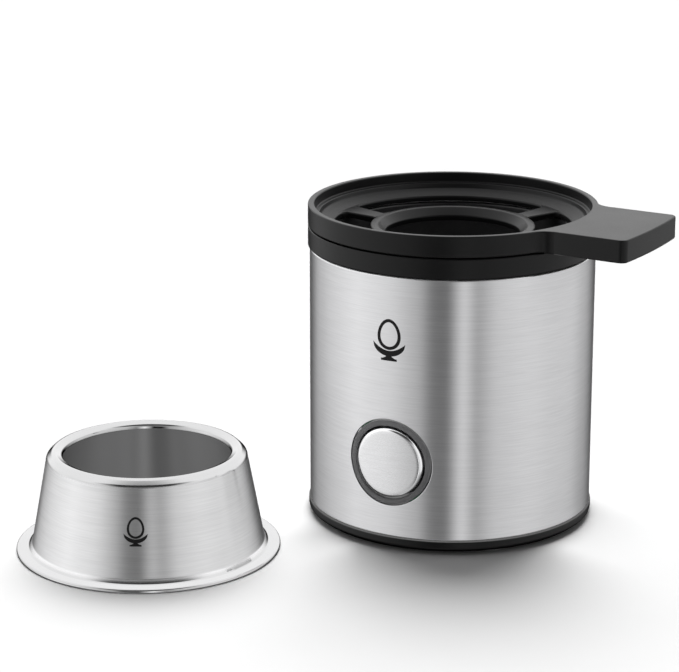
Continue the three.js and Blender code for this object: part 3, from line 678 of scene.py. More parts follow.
# ------------------------------------------------------------------ carrier with its handle
def carrier_outline():
    """(point, outward normal, on the ring) round the carrier's plan, from the middle of the handle's end."""
    x_mid, x_end, w, c, rr = 48.8, 48.1, 13.9, 1.7, 4.5
    bow = x_mid - x_end
    er = (w * w + bow * bow) / (2 * bow)
    ex = x_mid - er
    kx = ex + math.sqrt((er - c) ** 2 - (w - c) ** 2)
    tip = math.atan2(w - c, kx - ex)
    cy = w + rr
    cx = math.sqrt((COLLAR_R + rr) ** 2 - cy * cy)
    root = math.atan2(cy, cx)
    half = []
    for k in range(0, 9):
        a = tip * k / 9
        half.append((Vector((ex + er * math.cos(a), er * math.sin(a))), Vector((math.cos(a), math.sin(a))), False))
    for k in range(0, 13):
        a = tip + (math.pi / 2 - tip) * k / 12
        half.append((Vector((kx + c * math.cos(a), w - c + c * math.sin(a))), Vector((math.cos(a), math.sin(a))), False))
    for k in range(1, 10):
        x = kx + (cx - kx) * k / 10
        half.append((Vector((x, w)), Vector((0, 1)), False))
    for k in range(0, 13):
        a = -math.pi / 2 + (-math.pi + root + math.pi / 2) * k / 12
        half.append((Vector((cx + rr * math.cos(a), cy + rr * math.sin(a))), Vector((-math.cos(a), -math.sin(a))), False))
    n = 128
    for k in range(1, n):
        a = root + (math.pi - root) * k / n
        half.append((Vector((COLLAR_R * math.cos(a), COLLAR_R * math.sin(a))), Vector((math.cos(a), math.sin(a))), True))
    back = [(Vector((-COLLAR_R, 0)), Vector((-1, 0)), True)]
    mirrored = [(Vector((p.x, -p.y)), Vector((m.x, -m.y)), r) for p, m, r in reversed(half[1:])]
    return half + back + mirrored


def web_top(r):
    if r < 18.5:
        return 66.7
    if r < 18.8:
        return 66.7 - 0.15 * (r - 18.5) / 0.3
    return 66.55 + 0.6 * (r - 18.8) / 8.2


def carrier():
    inner = rounded([
        (32.0, 71.7), (30.95, 71.7, 0.32), (30.8, 69.5, 0.3), (29.85, 69.4, 0.25), (29.6, 68.3, 0.7), (27.0, 67.15, 0.5),
        (18.8, 66.55, 0.12), (18.5, 66.7, 0.12), (16.8, 66.82, 0.7), (15.0, 65.1, 0.5), (15.0, 63.9, 0.35), (17.5, 63.7, 0.4),
        (18.5, 64.4, 0.3), (18.6, 65.0, 0.1), (25.8, 65.9, 0.4), (29.9, 65.9, 0.25), (29.9, 67.0, 0.1), (31.0, 67.0),
    ], closed=False, step=18)[1:-1]
    top_r, low_r = 0.34, 0.3
    rings = []
    for p, m, on_ring in carrier_outline():
        a = math.atan2(p.y, p.x)
        ca, sa = math.cos(a), math.sin(a)
        low = p - m * low_r
        wide = low.length > 32.95 and not on_ring
        z0 = 66.7 if wide else 67.0
        ring = []
        if wide:
            ring += [(32.8 * ca, 32.8 * sa, 67.0), (32.8 * ca, 32.8 * sa, 66.7)]
        else:
            ring += [(low.x, low.y, z0)] * 2
        for t in (90, 60, 30, 0):
            q = p - m * low_r * (1 - math.cos(rad(t)))
            ring.append((q.x, q.y, z0 + low_r * (1 - math.sin(rad(t)))))
        for t in (0, 22.5, 45, 67.5, 90):
            q = p - m * top_r * (1 - math.cos(rad(t)))
            ring.append((q.x, q.y, 71.7 - top_r * (1 - math.sin(rad(t)))))
        ring += [(r * ca, r * sa, z) for r, z in inner]
        rings.append(ring)
    n = len(rings[0])
    verts = [v for ring in rings for v in ring]
    faces = []
    for i in range(len(rings)):
        i2 = (i + 1) % len(rings)
        for k in range(n):
            k2 = (k + 1) % n
            faces.append((i * n + k, i * n + k2, i2 * n + k2, i2 * n + k))
    ob = mesh_object("carrier_moulded", verts, faces)
    cutters = []
    for a in (60, 180, 300):
        a0, a1 = a + 6.4, a + 120 - 6.4
        ri, ro, n_arc = 18.5, 26.6, 48
        pts = [(ro, a0 + (a1 - a0) * k / n_arc) for k in range(n_arc + 1)] + [(ri, a1 - (a1 - a0) * k / n_arc) for k in range(n_arc + 1)]
        flat = []
        for i, (rr_, aa) in enumerate(pts):
            corner = 1.5 if i in (0, n_arc, n_arc + 1, 2 * n_arc + 1) else 0
            flat.append((rr_ * math.cos(rad(aa)), rr_ * math.sin(rad(aa)), corner))
        # The corners take their radius from the neighbouring arc points, so thin those out near them.
        keep = [f for i, f in enumerate(flat) if f[2] or (min(abs(i - c) for c in (0, n_arc, n_arc + 1, 2 * n_arc + 1)) > 2)]
        out = rounded(keep, step=12)
        levels = [(0.0, 60.0), (0.0, lambda q: web_top(q.length) - 0.42), (0.05, lambda q: web_top(q.length) - 0.22),
                  (0.16, lambda q: web_top(q.length) - 0.07), (0.36, lambda q: web_top(q.length) + 0.03), (0.36, 74.0)]
        cutters.append(prism("opening", out, levels))
    combine(ob, [join(cutters, "openings")], "DIFFERENCE")
    spin(ob, CARRIER_TURN)
    piece(ob, "carrier", "black", "black_plastic", "egg_carrier", sharp=36)
    return ob


# ------------------------------------------------------------------ collar, base, dish
def collar():
    prof = rounded([
        (31.1, 39.1, 0.2), (31.1, 62.25, 0.1), (32.4, 62.25, 0.3), (32.4, 66.75, 0.3), (30.2, 66.75, 0.3), (30.2, 64.2, 0.2),
        (27.6, 64.2, 0.25), (27.6, 63.1, 0.3), (29.5, 61.2, 0.3), (29.5, 39.1, 0.2)], step=18)
    ob = lathe("collar_moulded", prof, 224)
    bosses, holes = [], []
    for a in POST_ANGLES:
        x, y, _ = polar(a, POST_R)
        bosses.append(lathe("boss", rounded([(0, 39.1), (3.6, 39.1, 0.3), (3.45, 47.2, 0.4), (0, 47.2)], closed=False), 40, (x, y, 0)))
        holes.append(lathe("hole", [(0, 38.0), (1.9, 38.0), (1.6, 39.6), (1.6, 45.6), (0, 45.6)], 28, (x, y, 0)))
    combine(ob, bosses, "UNION")
    combine(ob, [join(holes, "holes")], "DIFFERENCE")
    piece(ob, "body", "black", "black_plastic", "top_collar", sharp=36)


def base():
    prof = rounded([(0, 0.5), (31.2, 0.5, 0.5), (32.3, 1.35, 0.7), (32.3, 2.9, 0.2), (31.1, 2.9, 0.1), (31.1, 6.6, 0.3), (29.5, 6.6, 0.3), (29.5, 2.9, 0.5), (0, 2.9)], closed=False, step=15)
    ob = lathe("base_moulded", prof, 224)
    add, cut = [], []
    for a in POST_ANGLES:
        x, y, _ = polar(a, POST_R)
        add.append(lathe("tower", rounded([(0, 1.2), (4.2, 1.2), (4.2, 37.6, 0.3), (0, 37.6)], closed=False), 40, (x, y, 0)))
        cut.append(lathe("bore", [(0, -1), (3.35, -1), (3.35, 0.5), (3.1, 0.85), (3.1, 3.6), (1.6, 3.6), (1.6, 39), (0, 39)], 32, (x, y, 0)))
    for s in (-1, 1):
        x0 = -17.0 if s < 0 else 14.2
        for y0 in (-14.6, -10.4):
            b = block("rib", x0, x0 + 2.8, y0, y0 + 2.0, 1.5, 11.0)
            add.append(b)
    for a in FOOT_ANGLES:
        x, y, _ = polar(a, FOOT_PITCH)
        cut.append(lathe("pocket", [(0, -1), (4.55, -1), (4.55, 0.5), (4.35, 0.75), (4.35, 1.9), (0, 1.9)], 48, (x, y, 0)))
    cut.append(lathe("pocket", [(0, -1), (11.6, -1), (11.6, 0.5), (11.4, 0.75), (11.4, 1.7), (0, 1.7)], 96))
    # Shallow moulded rings on the underside, between the pad and the screws.
    for r0 in (14.6, 17.6):
        cut.append(lathe("ring", rounded([(r0, -1), (r0 + 1.0, -1), (r0 + 1.0, 0.5), (r0 + 0.8, 0.8, 0.1), (r0 + 0.2, 0.8, 0.1), (r0, 0.5)]), 160))
    combine(ob, add, "UNION")
    combine(ob, [join(cut, "cuts")], "DIFFERENCE")
    piece(ob, "body", "black", "black_plastic", "base_plate", sharp=36)


def dish():
    prof = rounded([
        (0, 49.2), (20.3, 49.2, 1.0), (24.1, 50.6, 2.2), (26.2, 54.8, 3.0), (27.1, 65.0, 0.3), (29.9, 65.0, 0.28), (29.9, 65.6, 0.28),
        (26.75, 65.6, 0.6), (25.6, 55.0, 3.2), (23.7, 51.2, 2.0), (20.0, 50.0, 1.2), (7.0, 50.0, 0.4), (6.2, 49.75, 0.3), (5.4, 49.75, 0.3), (4.6, 50.0, 0.4), (0, 50.0)], closed=False, step=10)
    piece(lathe("dish_coated", prof, 192), "body", "dish", "dish_coating", "heating_dish")
    piece(lathe("seal_ring", rounded([(28.2, 64.35, 0.2), (29.8, 64.35, 0.2), (29.8, 64.85, 0.2), (28.2, 64.85, 0.2)]), 160), "body", "silicone", "silicone", "dish_seal")


# ------------------------------------------------------------------ push button
def cylinder_skin(x, radius):
    return -math.sqrt(max(0.0, radius * radius - x * x))


def button():
    n = 160

    def ring(r, skin_r=None, y=None):
        out = []
        for k in range(n):
            a = TAU * k / n
            x, h = r * math.cos(a), r * math.sin(a)
            out.append((x, y if skin_r is None else cylinder_skin(x, skin_r), BUTTON_Z + h))
        return out

    # Bezel: its face follows the shell, its two edges are eased.
    rings = [ring(9.6, y=-28.6), ring(9.6, 31.9), ring(9.57, 32.0), ring(9.5, 32.07), ring(9.4, 32.1), ring(9.1, 32.1), ring(8.8, 32.1),
             ring(8.52, 32.08), ring(8.39, 32.0), ring(8.32, 31.86), ring(8.3, 31.6), ring(8.3, y=-28.6)]
    piece(grid("bezel_ring", rings, True), "body", "bezel", "light_ring", "button_bezel", sharp=50)

    # Cap: brushed face curved as the shell, with a polished bevel round it whose colour is brightened as a painted
    # highlight.
    face = [ring(7.9, y=-30.6), ring(7.9, 31.75), ring(7.88, 31.95), ring(7.8, 32.14), ring(7.64, 32.32), ring(7.44, 32.46), ring(7.3, 32.52), ring(7.2, 32.54)]
    for r in (6.6, 5.6, 4.4, 3.2, 2.0, 1.0):
        face.append(ring(r, 32.55))
    rings = [[(0, -30.6, BUTTON_Z)]] + face + [[(0, -32.55, BUTTON_Z)]]
    cap = grid("cap_brushed", rings, False)
    uv = cap.data.uv_layers.new(name="UVMap")
    for lp in cap.data.loops:
        v = cap.data.vertices[lp.vertex_index].co
        uv.data[lp.index].uv = (v.x / 20 + 0.5, (v.z - BUTTON_Z) / 20 + 0.5)
    piece(cap, "button", "cap", "button_metal", "button_cap", sharp=60)

    plunger = rounded([(0, -31.15), (7.5, -31.15, 0.3), (7.5, -28.3, 0.2), (9.2, -28.3, 0.25), (9.2, -27.6, 0.25), (2.0, -27.6, 0.2), (2.0, -21.9, 0.4), (0, -21.9)], closed=False)
    piece(lathe("plunger_moulded", plunger, 96, (0, 0, BUTTON_Z), "Y"), "button", "black", "black_plastic", "button_plunger")
    pin = rounded([(0, -21.6), (1.5, -21.6, 0.5), (1.5, -19.0, 0.15), (0, -19.0)], closed=False)
    piece(lathe("actuator_pin", pin, 48, (0, 0, BUTTON_Z), "Y"), "button", "white", "inner_white", "switch_actuator")

    pts, turns, count = [], 4.5, 150
    for i in range(count + 1):
        t = i / count
        # The end coils are set closer together, as on a real compression spring.
        lift = t if turns == 0 else 0.5 - 0.5 * math.cos(math.pi * min(1, max(0, t))) * 0.35 + (t - 0.5) * 0.65
        a = TAU * turns * t
        pts.append((3.4 * math.cos(a), -27.1 + lift * 6.3, BUTTON_Z + 3.4 * math.sin(a)))
    spring = tube("spring_coil", pts, 0.35, 12, end=0.1)
    piece(spring, "body", "spring", "spring_steel", "button_spring", sharp=50, weighted=False)
    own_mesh(spring)


# ------------------------------------------------------------------ cup
def cup():
    prof = rounded([
        (29.05, 0.0, 0.3), (29.05, 0.9, 0.42), (26.45, 0.9, 0.6), (25.55, 1.9, 0.6),
        (21.924, 21.3, 1.3), (20.7, 22.4, 1.0), (20.0, 22.6, 0.8), (18.4, 22.0, 1.1), (18.4, 20.9, 0.18),
        (18.95, 20.9, 0.18), (19.0, 21.9, 0.6), (20.0, 22.0, 0.4), (21.15, 21.98, 0.9), (24.95, 1.75, 0.8), (25.9, 0.0, 0.3)], step=9)
    ob = lathe("cup_pressed", prof, 224, tuple(CUP))
    piece(ob, "cup", "cup", "pressed_cup", "egg_cup", sharp=50)
    ob.visible_glossy = False


# ------------------------------------------------------------------ printed marks
def mark(name, centre_z, width, height, wrap, body, slot):
    """A generic pictogram of an egg in a cup, as thin raised ink that follows the wall.
    wrap(s, t, lift) places a point s mm round and t mm up from the mark's centre."""
    verts, faces = [], []

    def strip(a, b, closed):
        """A raised ribbon between two rows of (s, t) points."""
        n = len(a)
        base_i = len(verts)
        for row in (a, b):
            for lift in (-0.05, 0.028):
                verts.extend(wrap(s, t, lift) for s, t in row)
        al, ah, bl, bh = (base_i + n * k for k in range(4))
        last = n if closed else n - 1
        for k in range(last):
            k2 = (k + 1) % n
            faces.extend([(ah + k, ah + k2, bh + k2, bh + k), (al + k2, al + k, bl + k, bl + k2),
                          (al + k, al + k2, ah + k2, ah + k), (bl + k2, bl + k, bh + k, bh + k2)])
        if not closed:
            faces.append((al, ah, bh, bl))
            faces.append((al + n - 1, bl + n - 1, bh + n - 1, ah + n - 1))

    k = height / 9.5
    # Egg outline: upper two thirds show above the bowl.
    def egg(scale, steps=56):
        pts = []
        for i in range(steps):
            a = TAU * i / steps
            y = math.sin(a)
            x = math.cos(a) * (1 - 0.13 * y)
            pts.append((x * 2.75 * scale * k, (y * 3.45 * scale + 1.15) * k))
        return pts

    outer = egg(1.0)
    inner_pts = [(x * (1 - 0.72 / 2.75), (y - 1.15 * k) * (1 - 0.72 / 3.45) + 1.15 * k) for x, y in outer]
    strip(outer, inner_pts, True)
    # Bowl: a crescent under the egg.
    top, low = [], []
    for i in range(33):
        s = -3.85 + 7.7 * i / 32
        u = abs(s) / 3.85
        top.append((s * k, (-0.75 - 1.75 * (1 - u * u)) * k))
        low.append((s * k, (-0.75 - 0.001 - 3.0 * math.sqrt(max(0.0, 1 - u * u))) * k))
    strip([(s, max(t, l + 0.02)) for (s, t), (_, l) in zip(top, low)], low, False)
    # Foot.
    foot_top, foot_low = [], []
    for i in range(17):
        s = -1.9 + 3.8 * i / 16
        u = abs(s) / 1.9
        foot_top.append((s * k, (-3.5 - 0.75 * min(1.0, max(0.0, (u - 0.25) / 0.55)) ** 0.6) * k))
        foot_low.append((s * k, -4.75 * k))
    strip(foot_top, foot_low, False)
    me = bpy.data.meshes.new(name)
    me.from_pydata([tuple(v) for v in verts], [], faces)
    ob = bpy.data.objects.new(name, me)
    scene.collection.objects.link(ob)
    clean(ob, 1e-5)
    piece(ob, body, "ink", slot, sharp=40, weighted=False)
    return ob


def marks():
    def on_shell(s, t, lift):
        a = s / SHELL_R
        r = SHELL_R + lift
        return (r * math.sin(a), -r * math.cos(a), 48.0 + t)

    mark("egg_mark_shell", 48.0, 7.7, 9.5, on_shell, "body", "black_plastic")

    slope = math.atan2(25.55 - 22.15, 20.0 - 1.9)
    face_dir = AZ - rad(2.2)

    def on_cup(s, t, lift):
        z = 11.95 + t * math.cos(slope)
        r = 25.55 - (z - 1.9) * math.tan(slope)
        a = s / r + face_dir
        r += lift * math.cos(slope)
        return (CUP.x + r * math.sin(a), CUP.y - r * math.cos(a), z + lift * math.sin(slope))

    mark("egg_mark_cup", 11.95, 5.2, 6.4, on_cup, "cup", "black_plastic")


# ------------------------------------------------------------------ feet, pad, screws, grommet
def underside():
    for i, a in enumerate(FOOT_ANGLES):
        x, y, _ = polar(a, FOOT_PITCH)
        prof = rounded([(0, 0.0), (3.0, 0.0, 0.1), (3.35, 0.06, 0.3), (3.9, 0.5, 0.3), (4.0, 1.7, 0.15), (0, 1.7)], closed=False)
        piece(lathe(f"foot_rubber_{i + 1}", prof, 64, (x, y, 0)), "body", "rubber", "rubber", f"foot_{i + 1}")
    # Pad with fine concentric treads.
    prof = [(0, 0.0)]
    for k in range(5):
        r0 = 2.0 + k * 1.75
        prof += [(r0 - 0.45, 0.0, 0.05), (r0 - 0.3, 0.22, 0.08), (r0 + 0.3, 0.22, 0.08), (r0 + 0.45, 0.0, 0.05)]
    prof += [(10.7, 0.0, 0.15), (11.0, 0.3, 0.2), (11.0, 1.5, 0.15), (0, 1.5)]
    piece(lathe("pad_rubber", rounded(prof, closed=False, step=30), 128), "body", "rubber", "rubber", "anti_slip_pad")
    for i, a in enumerate(POST_ANGLES):
        x, y, _ = polar(a, POST_R)
        prof = [(0, 1.1), (1.9, 1.1), (2.3, 1.2), (2.62, 1.45), (2.8, 1.85), (2.8, 3.15), (2.7, 3.3), (1.25, 3.3), (1.25, 30.0)]
        # Thread in the part that bites into the collar's boss.
        z = 30.0
        while z < 43.6:
            prof += [(1.25, z), (1.52, z + 0.28), (1.52, z + 0.34), (1.25, z + 0.62)]
            z += 0.85
        prof += [(1.2, 44.0), (0, 45.0)]
        s = lathe("screw", prof, 40, (x, y, 0))
        arms = []
        for turn in (0, 90):
            b = block("arm", -1.75, 1.75, -0.38, 0.38, 0.4, 2.1)
            for v in b.data.vertices:  # the cross recess narrows as it goes in
                if v.co.z > 1.0:
                    v.co.x *= 0.45
                    v.co.y *= 0.7
            spin(b, turn + 20 * i)
            b.data.transform(Matrix.Translation((x, y, 0)))
            arms.append(b)
        combine(s, arms, "DIFFERENCE")
        s.name = f"screw_zinc_{i + 1}"
        piece(s, "body", "zinc", "zinc", f"body_screw_{i + 1}", sharp=30)
    prof = rounded([(3.5, 25.5, 0.2), (4.6, 25.5, 0.3), (5.5, 29.2, 0.3), (5.5, 30.3, 0.2), (4.7, 30.3, 0.15), (4.7, 32.3, 0.15),
                    (6.2, 32.3, 0.2), (6.2, 33.2, 0.5), (5.7, 33.7, 0.4), (3.5, 33.7, 0.45)], step=15)
    piece(lathe("grommet_rubber", prof, 96, (0, 0, CORD_Z), "Y"), "body", "rubber", "rubber", "cord_grommet")


# ------------------------------------------------------------------ heater
def heater():
    stud_r = 18.2
    s = lathe("spreader_cast", rounded([(0, 46.7), (20.0, 46.7, 0.3), (20.4, 47.1, 0.2), (20.4, 49.05, 0.25), (0, 49.05)], closed=False), 128)
    studs = []
    for a in (45, 225):
        x, y, _ = polar(a, stud_r)
        prof = [(0, 33.4), (1.1, 33.4), (1.25, 33.6)]
        z = 33.7
        while z < 38.6:
            prof += [(1.25, z), (1.5, z + 0.25), (1.5, z + 0.32), (1.25, z + 0.57)]
            z += 0.7
        prof += [(1.5, 39.4), (1.5, 47.5), (0, 47.5)]
        studs.append(lathe("stud", prof, 28, (x, y, 0)))
    combine(s, studs, "UNION")
    piece(s, "body", "aluminium", "aluminium", "heat_spreader")

    pts = [(4.6, 12.8, 32.0), (4.6, 12.8, 36.0), (4.6, 12.8, 40.0), (5.1, 12.7, 42.8)]
    a = 55.0
    while a >= -235:
        pts.append(polar(a, 13.6, 44.2))
        a -= 14.5
    pts += [(-5.1, 12.7, 42.8), (-4.6, 12.8, 40.0), (-4.6, 12.8, 36.0), (-4.6, 12.8, 32.0)]
    piece(tube("element_tube", path_points(pts, 5), 2.2, 28, end=0.5), "body", "element", "element_steel", "heating_element", sharp=50)

    t = lathe("thermostat_disc", rounded([(0, 36.6), (5.5, 36.6, 0.3), (5.5, 39.1, 0.2), (9.0, 39.1, 0.2), (9.0, 40.4, 0.25), (7.6, 40.4, 0.2), (7.6, 45.6, 0.3), (6.8, 46.5, 0.4), (0, 46.5)], closed=False), 96)
    combine(t, [block("tab", -3.6, -2.8, -2.2, 2.2, 30.6, 37.5), block("tab", 2.8, 3.6, -2.2, 2.2, 30.6, 37.5)], "UNION")
    piece(t, "body", "phenolic", "phenolic", "thermostat")

    for i, a in enumerate((45, 225)):
        x, y, _ = polar(a, stud_r)
        nut = lathe("nut", [(0, 35.2), (3.1, 35.2), (3.1, 37.6), (0, 37.6)], 6, (x, y, 0))
        ball = lathe("dome", rounded([(0, 35.2), (2.75, 35.2), (3.3, 35.6), (3.3, 37.2), (2.75, 37.6), (0, 37.6)], closed=False), 64, (x, y, 0))
        combine(nut, [ball], "INTERSECT")
        combine(nut, [lathe("hole", [(0, 34), (2.1, 34), (2.1, 35.2), (1.7, 35.5), (1.7, 37.3), (2.1, 37.6), (2.1, 39), (0, 39)], 40, (x, y, 0))], "DIFFERENCE")
        nut.name = f"nut_zinc_{i + 1}"
        piece(nut, "body", "zinc", "zinc", f"clamp_nut_{i + 1}", sharp=25)

    fuse = rounded([(0, -6.0), (1.2, -6.0, 0.2), (1.8, -5.3, 0.3), (1.8, 5.3, 0.3), (1.2, 6.0, 0.2), (0, 6.0)], closed=False)
    piece(lathe("fuse_body", fuse, 48, (0, -18.9, 44.6), "X"), "body", "white", "inner_white", "thermal_fuse")


# ------------------------------------------------------------------ electrics
def electrics():
    buzz = rounded([(0.9, -10.5, 0.1), (4.5, -10.5, 0.2), (4.5, -6.2, 0.3), (4.0, -5.8, 0.3), (0.9, -5.8, 0.2)])
    piece(lathe("buzzer_can", buzz, 72, (8.0, 0, 27.5), "Y"), "body", "black", "black_plastic", "buzzer")
    led = rounded([(0, -18.0), (0.95, -17.75, 0.5), (1.45, -16.9, 0.6), (1.5, -12.45, 0.1), (0, -12.45)], closed=False)
    piece(lathe("led_lens", led, 48, (0, 0, 29.8), "Y"), "body", "led", "led_red", "indicator_led")
    r = 0.85
    routes = {
        "live_wire": ("brown", "wire_brown", [(-5.6, 8.2, 9.4), (-5.6, 8.2, 14), (-6.2, 5.0, 17.5), (-7.0, -2.0, 17.5), (-7.2, -6.5, 16.6), (-7.2, -10.4, 16.5)]),
        "neutral_wire": ("blue", "wire_blue", [(5.6, 8.2, 9.4), (5.6, 8.2, 12.6), (4.8, 5.0, 14.0), (0.5, 0.5, 12.0), (-1.0, -5.0, 10.2), (-1.0, -10.4, 10.0)]),
        "earth_wire": ("earth", "wire_earth", [(0, 8.2, 9.4), (0, 8.2, 15), (1.5, 9.2, 20), (13.0, 5.0, 27), (19.4, 3.5, 34), (20.4, 1.8, 42), (18.6, 0.6, 46.1)]),
        "heater_wire_a": ("red", "wire_red", [(-9.5, -10.4, 14.0), (-9.5, -6.0, 14.2), (-12.5, 2.0, 18), (-10.5, 10.5, 24), (-5.0, 12.9, 29.0), (-4.6, 12.8, 31.8)]),
        "heater_wire_b": ("red", "wire_red", [(4.6, 12.8, 31.8), (4.7, 12.4, 29.2), (5.6, 9.0, 26.6), (4.6, 2.6, 27.0), (3.2, 0, 28.4), (3.2, 0, 30.4)]),
        "thermostat_wire": ("red", "wire_red", [(-3.2, 0, 30.4), (-3.2, 0, 28.0), (-1.4, 1.6, 24.0), (2.0, 0.5, 18.5), (0.6, -5.5, 16.6), (-0.6, -10.4, 16.5)]),
    }
    for node, (mat, slot, pts) in routes.items():
        piece(tube(node + "_lead", path_points(pts, 8), r, 16, end=0.15), "body", mat, slot, node, sharp=50)
    for node, mat, slot, width in (
        ("clamp_spider", "zinc", "zinc", 0.12), ("fuse_clip", "zinc", "zinc", 0.08), ("push_switch", "black", "black_plastic", 0.3),
        ("circuit_board", "board", "board", 0.12), ("relay", "relay", "relay_blue", 0.4), ("capacitor", "capacitor", "capacitor_yellow", 0.45),
        ("terminal_block", "white", "inner_white", 0.3)):
        ob = frame["nodes"][node]
        ob.data.materials.clear()
        ob.data.materials.append(MAT[mat])
        w = ob.modifiers.new("weld", "WELD")
        w.merge_threshold = 1e-6
        e = ob.modifiers.new("edges", "BEVEL")
        e.width, e.segments, e.limit_method, e.angle_limit = width / 1000, 2, "ANGLE", rad(40)
        ob.modifiers.new("normals", "WEIGHTED_NORMAL").keep_sharp = False


shell()
carrier()
collar()
base()
dish()
button()
cup()
marks()
underside()
heater()
electrics()


# ------------------------------------------------------------------ floor, light
def floor():
    me = bpy.data.meshes.new("floor")
    s = 4.0
    me.from_pydata([(-s, -s, 0), (s, -s, 0), (s, s, 0), (-s, s, 0)], [], [(0, 1, 2, 3)])
    ob = bpy.data.objects.new("floor", me)
    ob.location = (0, 0, -0.00002)
    scene.collection.objects.link(ob)
    m, n, b = start("floor_pale")
    g = n.noise(n.place((30, 30, 30)), 1.0, 3.0, 0.5)
    link(n, n.mix(n.remap(g, 0.3, 0.7, 0, 1), 0.80, 0.82), b.inputs["Base Color"])
    b.inputs["Roughness"].default_value = 0.9
    b.inputs["Specular IOR Level"].default_value = 0.0
    # From below the floor is clear, so the underside can be looked at.
    clear = n.add("ShaderNodeBsdfTransparent")
    below = n.add("ShaderNodeNewGeometry").outputs["Backfacing"]
    side = n.add("ShaderNodeMixShader", {0: below, 1: b.outputs[0], 2: clear.outputs[0]})
    link(n, side.outputs[0], [x for x in n.t.nodes if x.bl_idname == "ShaderNodeOutputMaterial"][0].inputs["Surface"])
    me.materials.append(m)
    ob.visible_glossy = False
    return ob


def to_linear(v):
    v = v / 255.0
    return v / 12.92 if v <= 0.04045 else ((v + 0.055) / 1.055) ** 2.4


def studio():
    """Soft studio surroundings: two wide softboxes left and right, a dark gap near the camera and a bright dome."""
    w = bpy.data.worlds.new("studio")
    scene.world = w
    w.use_nodes = True
    n = Nodes(w.node_tree)
    c = n.add("ShaderNodeTexCoord")
    xyz = n.add("ShaderNodeSeparateXYZ", {"Vector": c.outputs["Generated"]})
    x, y, z = xyz.outputs["X"], xyz.outputs["Y"], xyz.outputs["Z"]
    across = n.math("ADD", n.math("MULTIPLY", x, math.cos(AZ)), n.math("MULTIPLY", y, math.sin(AZ)))
    toward = n.math("SUBTRACT", n.math("MULTIPLY", x, math.sin(AZ)), n.math("MULTIPLY", y, math.cos(AZ)))
    turn = n.math("MULTIPLY_ADD", n.math("ARCTAN2", across, toward), 1 / TAU, 0.5)
    bands = [(-180, 2), (-161, 5), (-150, 100), (-141, 174), (-120, 224), (-84, 254), (-48, 220), (-28, 182), (-18, 22), (-5, 22), (7, 270), (18, 142), (34, 208), (70, 228), (112, 222), (135, 172), (149, 88), (160, 5)]
    stops = [((a + 180) / 360, to_linear(v) / 0.70) for a, v in bands] + [(1.0, to_linear(4) / 0.70)]
    ring = n.ramp(turn, stops)
    up = n.remap(z, math.sin(rad(-3)), math.sin(rad(12)), 0, 1, "SMOOTHSTEP")
    # Level with the horizon the gap between the softboxes is wider and softer than below it.
    wide = [(-180, 4), (-163, 12), (-145, 150), (-120, 208), (-84, 244), (-50, 220), (-34, 186), (-22, 148), (-4, 122), (10, 150), (18, 172), (32, 214), (60, 222), (112, 200), (135, 158), (158, 40)]
    stops = [((a + 180) / 360, to_linear(v) / 0.70) for a, v in wide] + [(1.0, to_linear(4) / 0.70)]
    level = n.remap(z, math.sin(rad(-12)), math.sin(rad(-3)), 0, 1, "SMOOTHSTEP")
    ring = n.mix(level, ring, n.ramp(turn, stops))
    # Below that only the front is lit, which leaves the sides of the cup's inner wall dark.
    astray = n.math("ABSOLUTE", n.math("MULTIPLY_ADD", turn, 2.0, -1.0))
    aside = n.remap(astray, 58 / 180, 128 / 180, 0, 1)
    depth = n.math("MULTIPLY_ADD", aside, -0.175, z)
    down = n.remap(depth, -0.56, -0.46, 1, 0, "SMOOTHSTEP")
    low = n.ramp(astray, [(0.0, 0.46), (28 / 180, 0.60), (42 / 180, 0.36), (63 / 180, 0.26), (84 / 180, 0.15), (108 / 180, 0.04), (130 / 180, 0.01), (146 / 180, 0.0), (1.0, 0.0)])
    front = n.remap(toward, 0.08, 0.36, 0, 1, "SMOOTHSTEP")
    front = n.math("MULTIPLY", front, n.remap(n.math("ABSOLUTE", across), 0.40, 0.80, 1, 0, "SMOOTHSTEP"))
    dome = n.mix(front, 1.42, 0.06)
    front_low = n.mix(n.remap(z, math.sin(rad(22)), math.sin(rad(32)), 1, 0, "SMOOTHSTEP"), dome, ring)
    back = n.remap(toward, -0.25, 0.15, 1, 0, "SMOOTHSTEP")
    dome = n.mix(back, front_low, dome)
    light = n.mix(up, ring, dome)
    light = n.mix(down, light, low)
    lp = n.add("ShaderNodeLightPath")
    light = n.mix(n.math("MULTIPLY", lp.outputs["Is Diffuse Ray"], 0.80), light, 0.0)
    seen = n.mix(lp.outputs["Is Camera Ray"], light, 1.0)
    bg = n.add("ShaderNodeBackground", {"Color": seen, "Strength": 1.0})
    n.add("ShaderNodeOutputWorld", {"Surface": bg.outputs[0]})


def sun(name, energy, spread, elevation, sideways=0.0):
    """A wide soft light from behind the object, elevation degrees up."""
    d = bpy.data.lights.new(name, "SUN")
    d.energy, d.angle = energy, rad(spread)
    o = bpy.data.objects.new(name, d)
    o.rotation_mode = "QUATERNION"
    back = (ahead * math.cos(rad(sideways)) + right * math.sin(rad(sideways))) * math.cos(rad(elevation)) + Vector((0, 0, math.sin(rad(elevation))))
    o.rotation_quaternion = (-back).to_track_quat("-Z", "Y")
    o.visible_glossy = False
    scene.collection.objects.link(o)
    return o


def light_set(name, objects, state="INCLUDE"):
    c = bpy.data.collections.new(name)
    for o in objects:
        c.objects.link(o)
    for x in c.collection_objects:
        x.light_linking.link_state = state
    return c


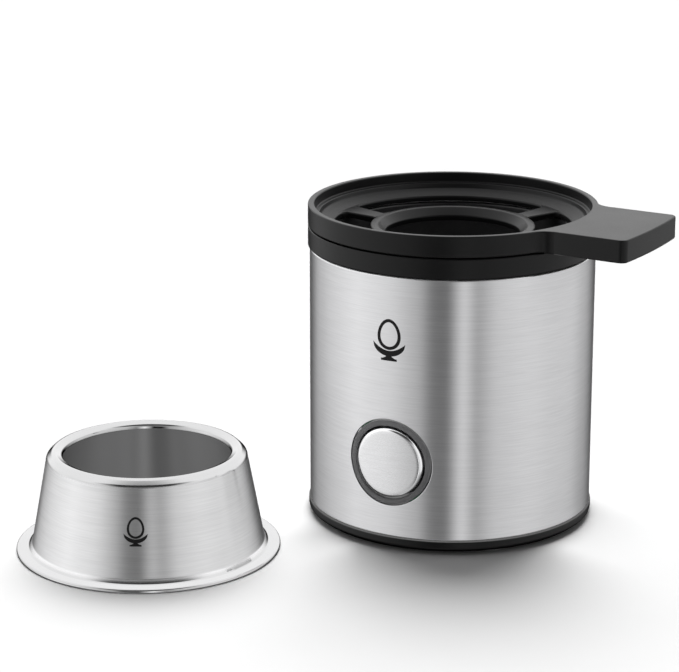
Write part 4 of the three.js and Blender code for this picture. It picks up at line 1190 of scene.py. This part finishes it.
def shade_card():
    """A curved card hidden in the gap behind the sleeve's front, which gives the cooker's soft shadow its shape."""
    rows = []
    for z in (0.5, 66.0):
        rows.append([tuple(right * (31.25 * math.sin(rad(a))) - ahead * (31.25 * math.cos(rad(a))) + Vector((0, 0, z))) for a in range(-42, 43, 3)])
    n = len(rows[0])
    card = mesh_object("shade_card", rows[0] + rows[1], [(k, k + 1, n + k + 1, n + k) for k in range(n - 1)])
    card.data.transform(Matrix.Scale(0.001, 4))
    card.visible_camera = card.visible_glossy = card.visible_diffuse = card.visible_transmission = False
    return card


def bounce(name, level, verts, faces):
    """A bright card that only mirrors see, and only from outside."""
    m = bpy.data.materials.new(name)
    m.use_nodes = True
    n = Nodes(m.node_tree)
    glow = n.add("ShaderNodeEmission", {"Color": (1, 1, 1, 1), "Strength": level})
    clear = n.add("ShaderNodeBsdfTransparent")
    side = n.add("ShaderNodeMixShader", {0: n.add("ShaderNodeNewGeometry").outputs["Backfacing"], 1: glow.outputs[0], 2: clear.outputs[0]})
    n.add("ShaderNodeOutputMaterial", {"Surface": side.outputs[0]})
    m.cycles.emission_sampling = "NONE"
    card = mesh_object(name, verts, faces)
    card.data.transform(Matrix.Scale(0.001, 4))
    card.data.materials.clear()
    card.data.materials.append(m)
    card.visible_camera = card.visible_diffuse = card.visible_transmission = card.visible_shadow = False


def bounce_cards():
    """The cup mirrors these cards in place of the cooker's dark top and its button."""
    turns = range(120, 337, 6)
    k = len(turns)
    bounce("bounce_wall", 1.42, [(34.7 * math.cos(rad(a)), 34.7 * math.sin(rad(a)), z) for z in (40.0, 73.0) for a in turns],
           [(i, i + 1, k + i + 1, k + i) for i in range(k - 1)])
    bounce("bounce_disc", 1.42, [(31.0 * math.cos(rad(a)), 31.0 * math.sin(rad(a)), 45.0) for a in range(360, 0, -6)], [tuple(range(60))])
    bounce("bounce_button", 0.83, [(-11, -35.0, 9), (11, -35.0, 9), (11, -35.0, 32), (-11, -35.0, 32)], [(0, 1, 2, 3)])


ground = floor()
studio()
bounce_cards()
key = sun("key_above", 2.9, 52, 67)
key.light_linking.receiver_collection = light_set("not_floor", [ground], "EXCLUDE")
floor_light = sun("floor_light", 3.95, 49, 56.5)
floor_light.light_linking.receiver_collection = light_set("floor_only", [ground])
floor_light.light_linking.blocker_collection = light_set("shade_floor", [shade_card(), bpy.data.objects["base_moulded"], bpy.data.objects["cup_pressed"]])
# The cup's polished wall mirrors the studio and not the cooker beside it.
for o in bpy.data.objects:
    if o.type == "MESH" and o.name not in ("carrier_moulded", "dish_coated", "bezel_ring", "cap_brushed", "bounce_wall", "bounce_disc", "bounce_button"):
        o.visible_glossy = False
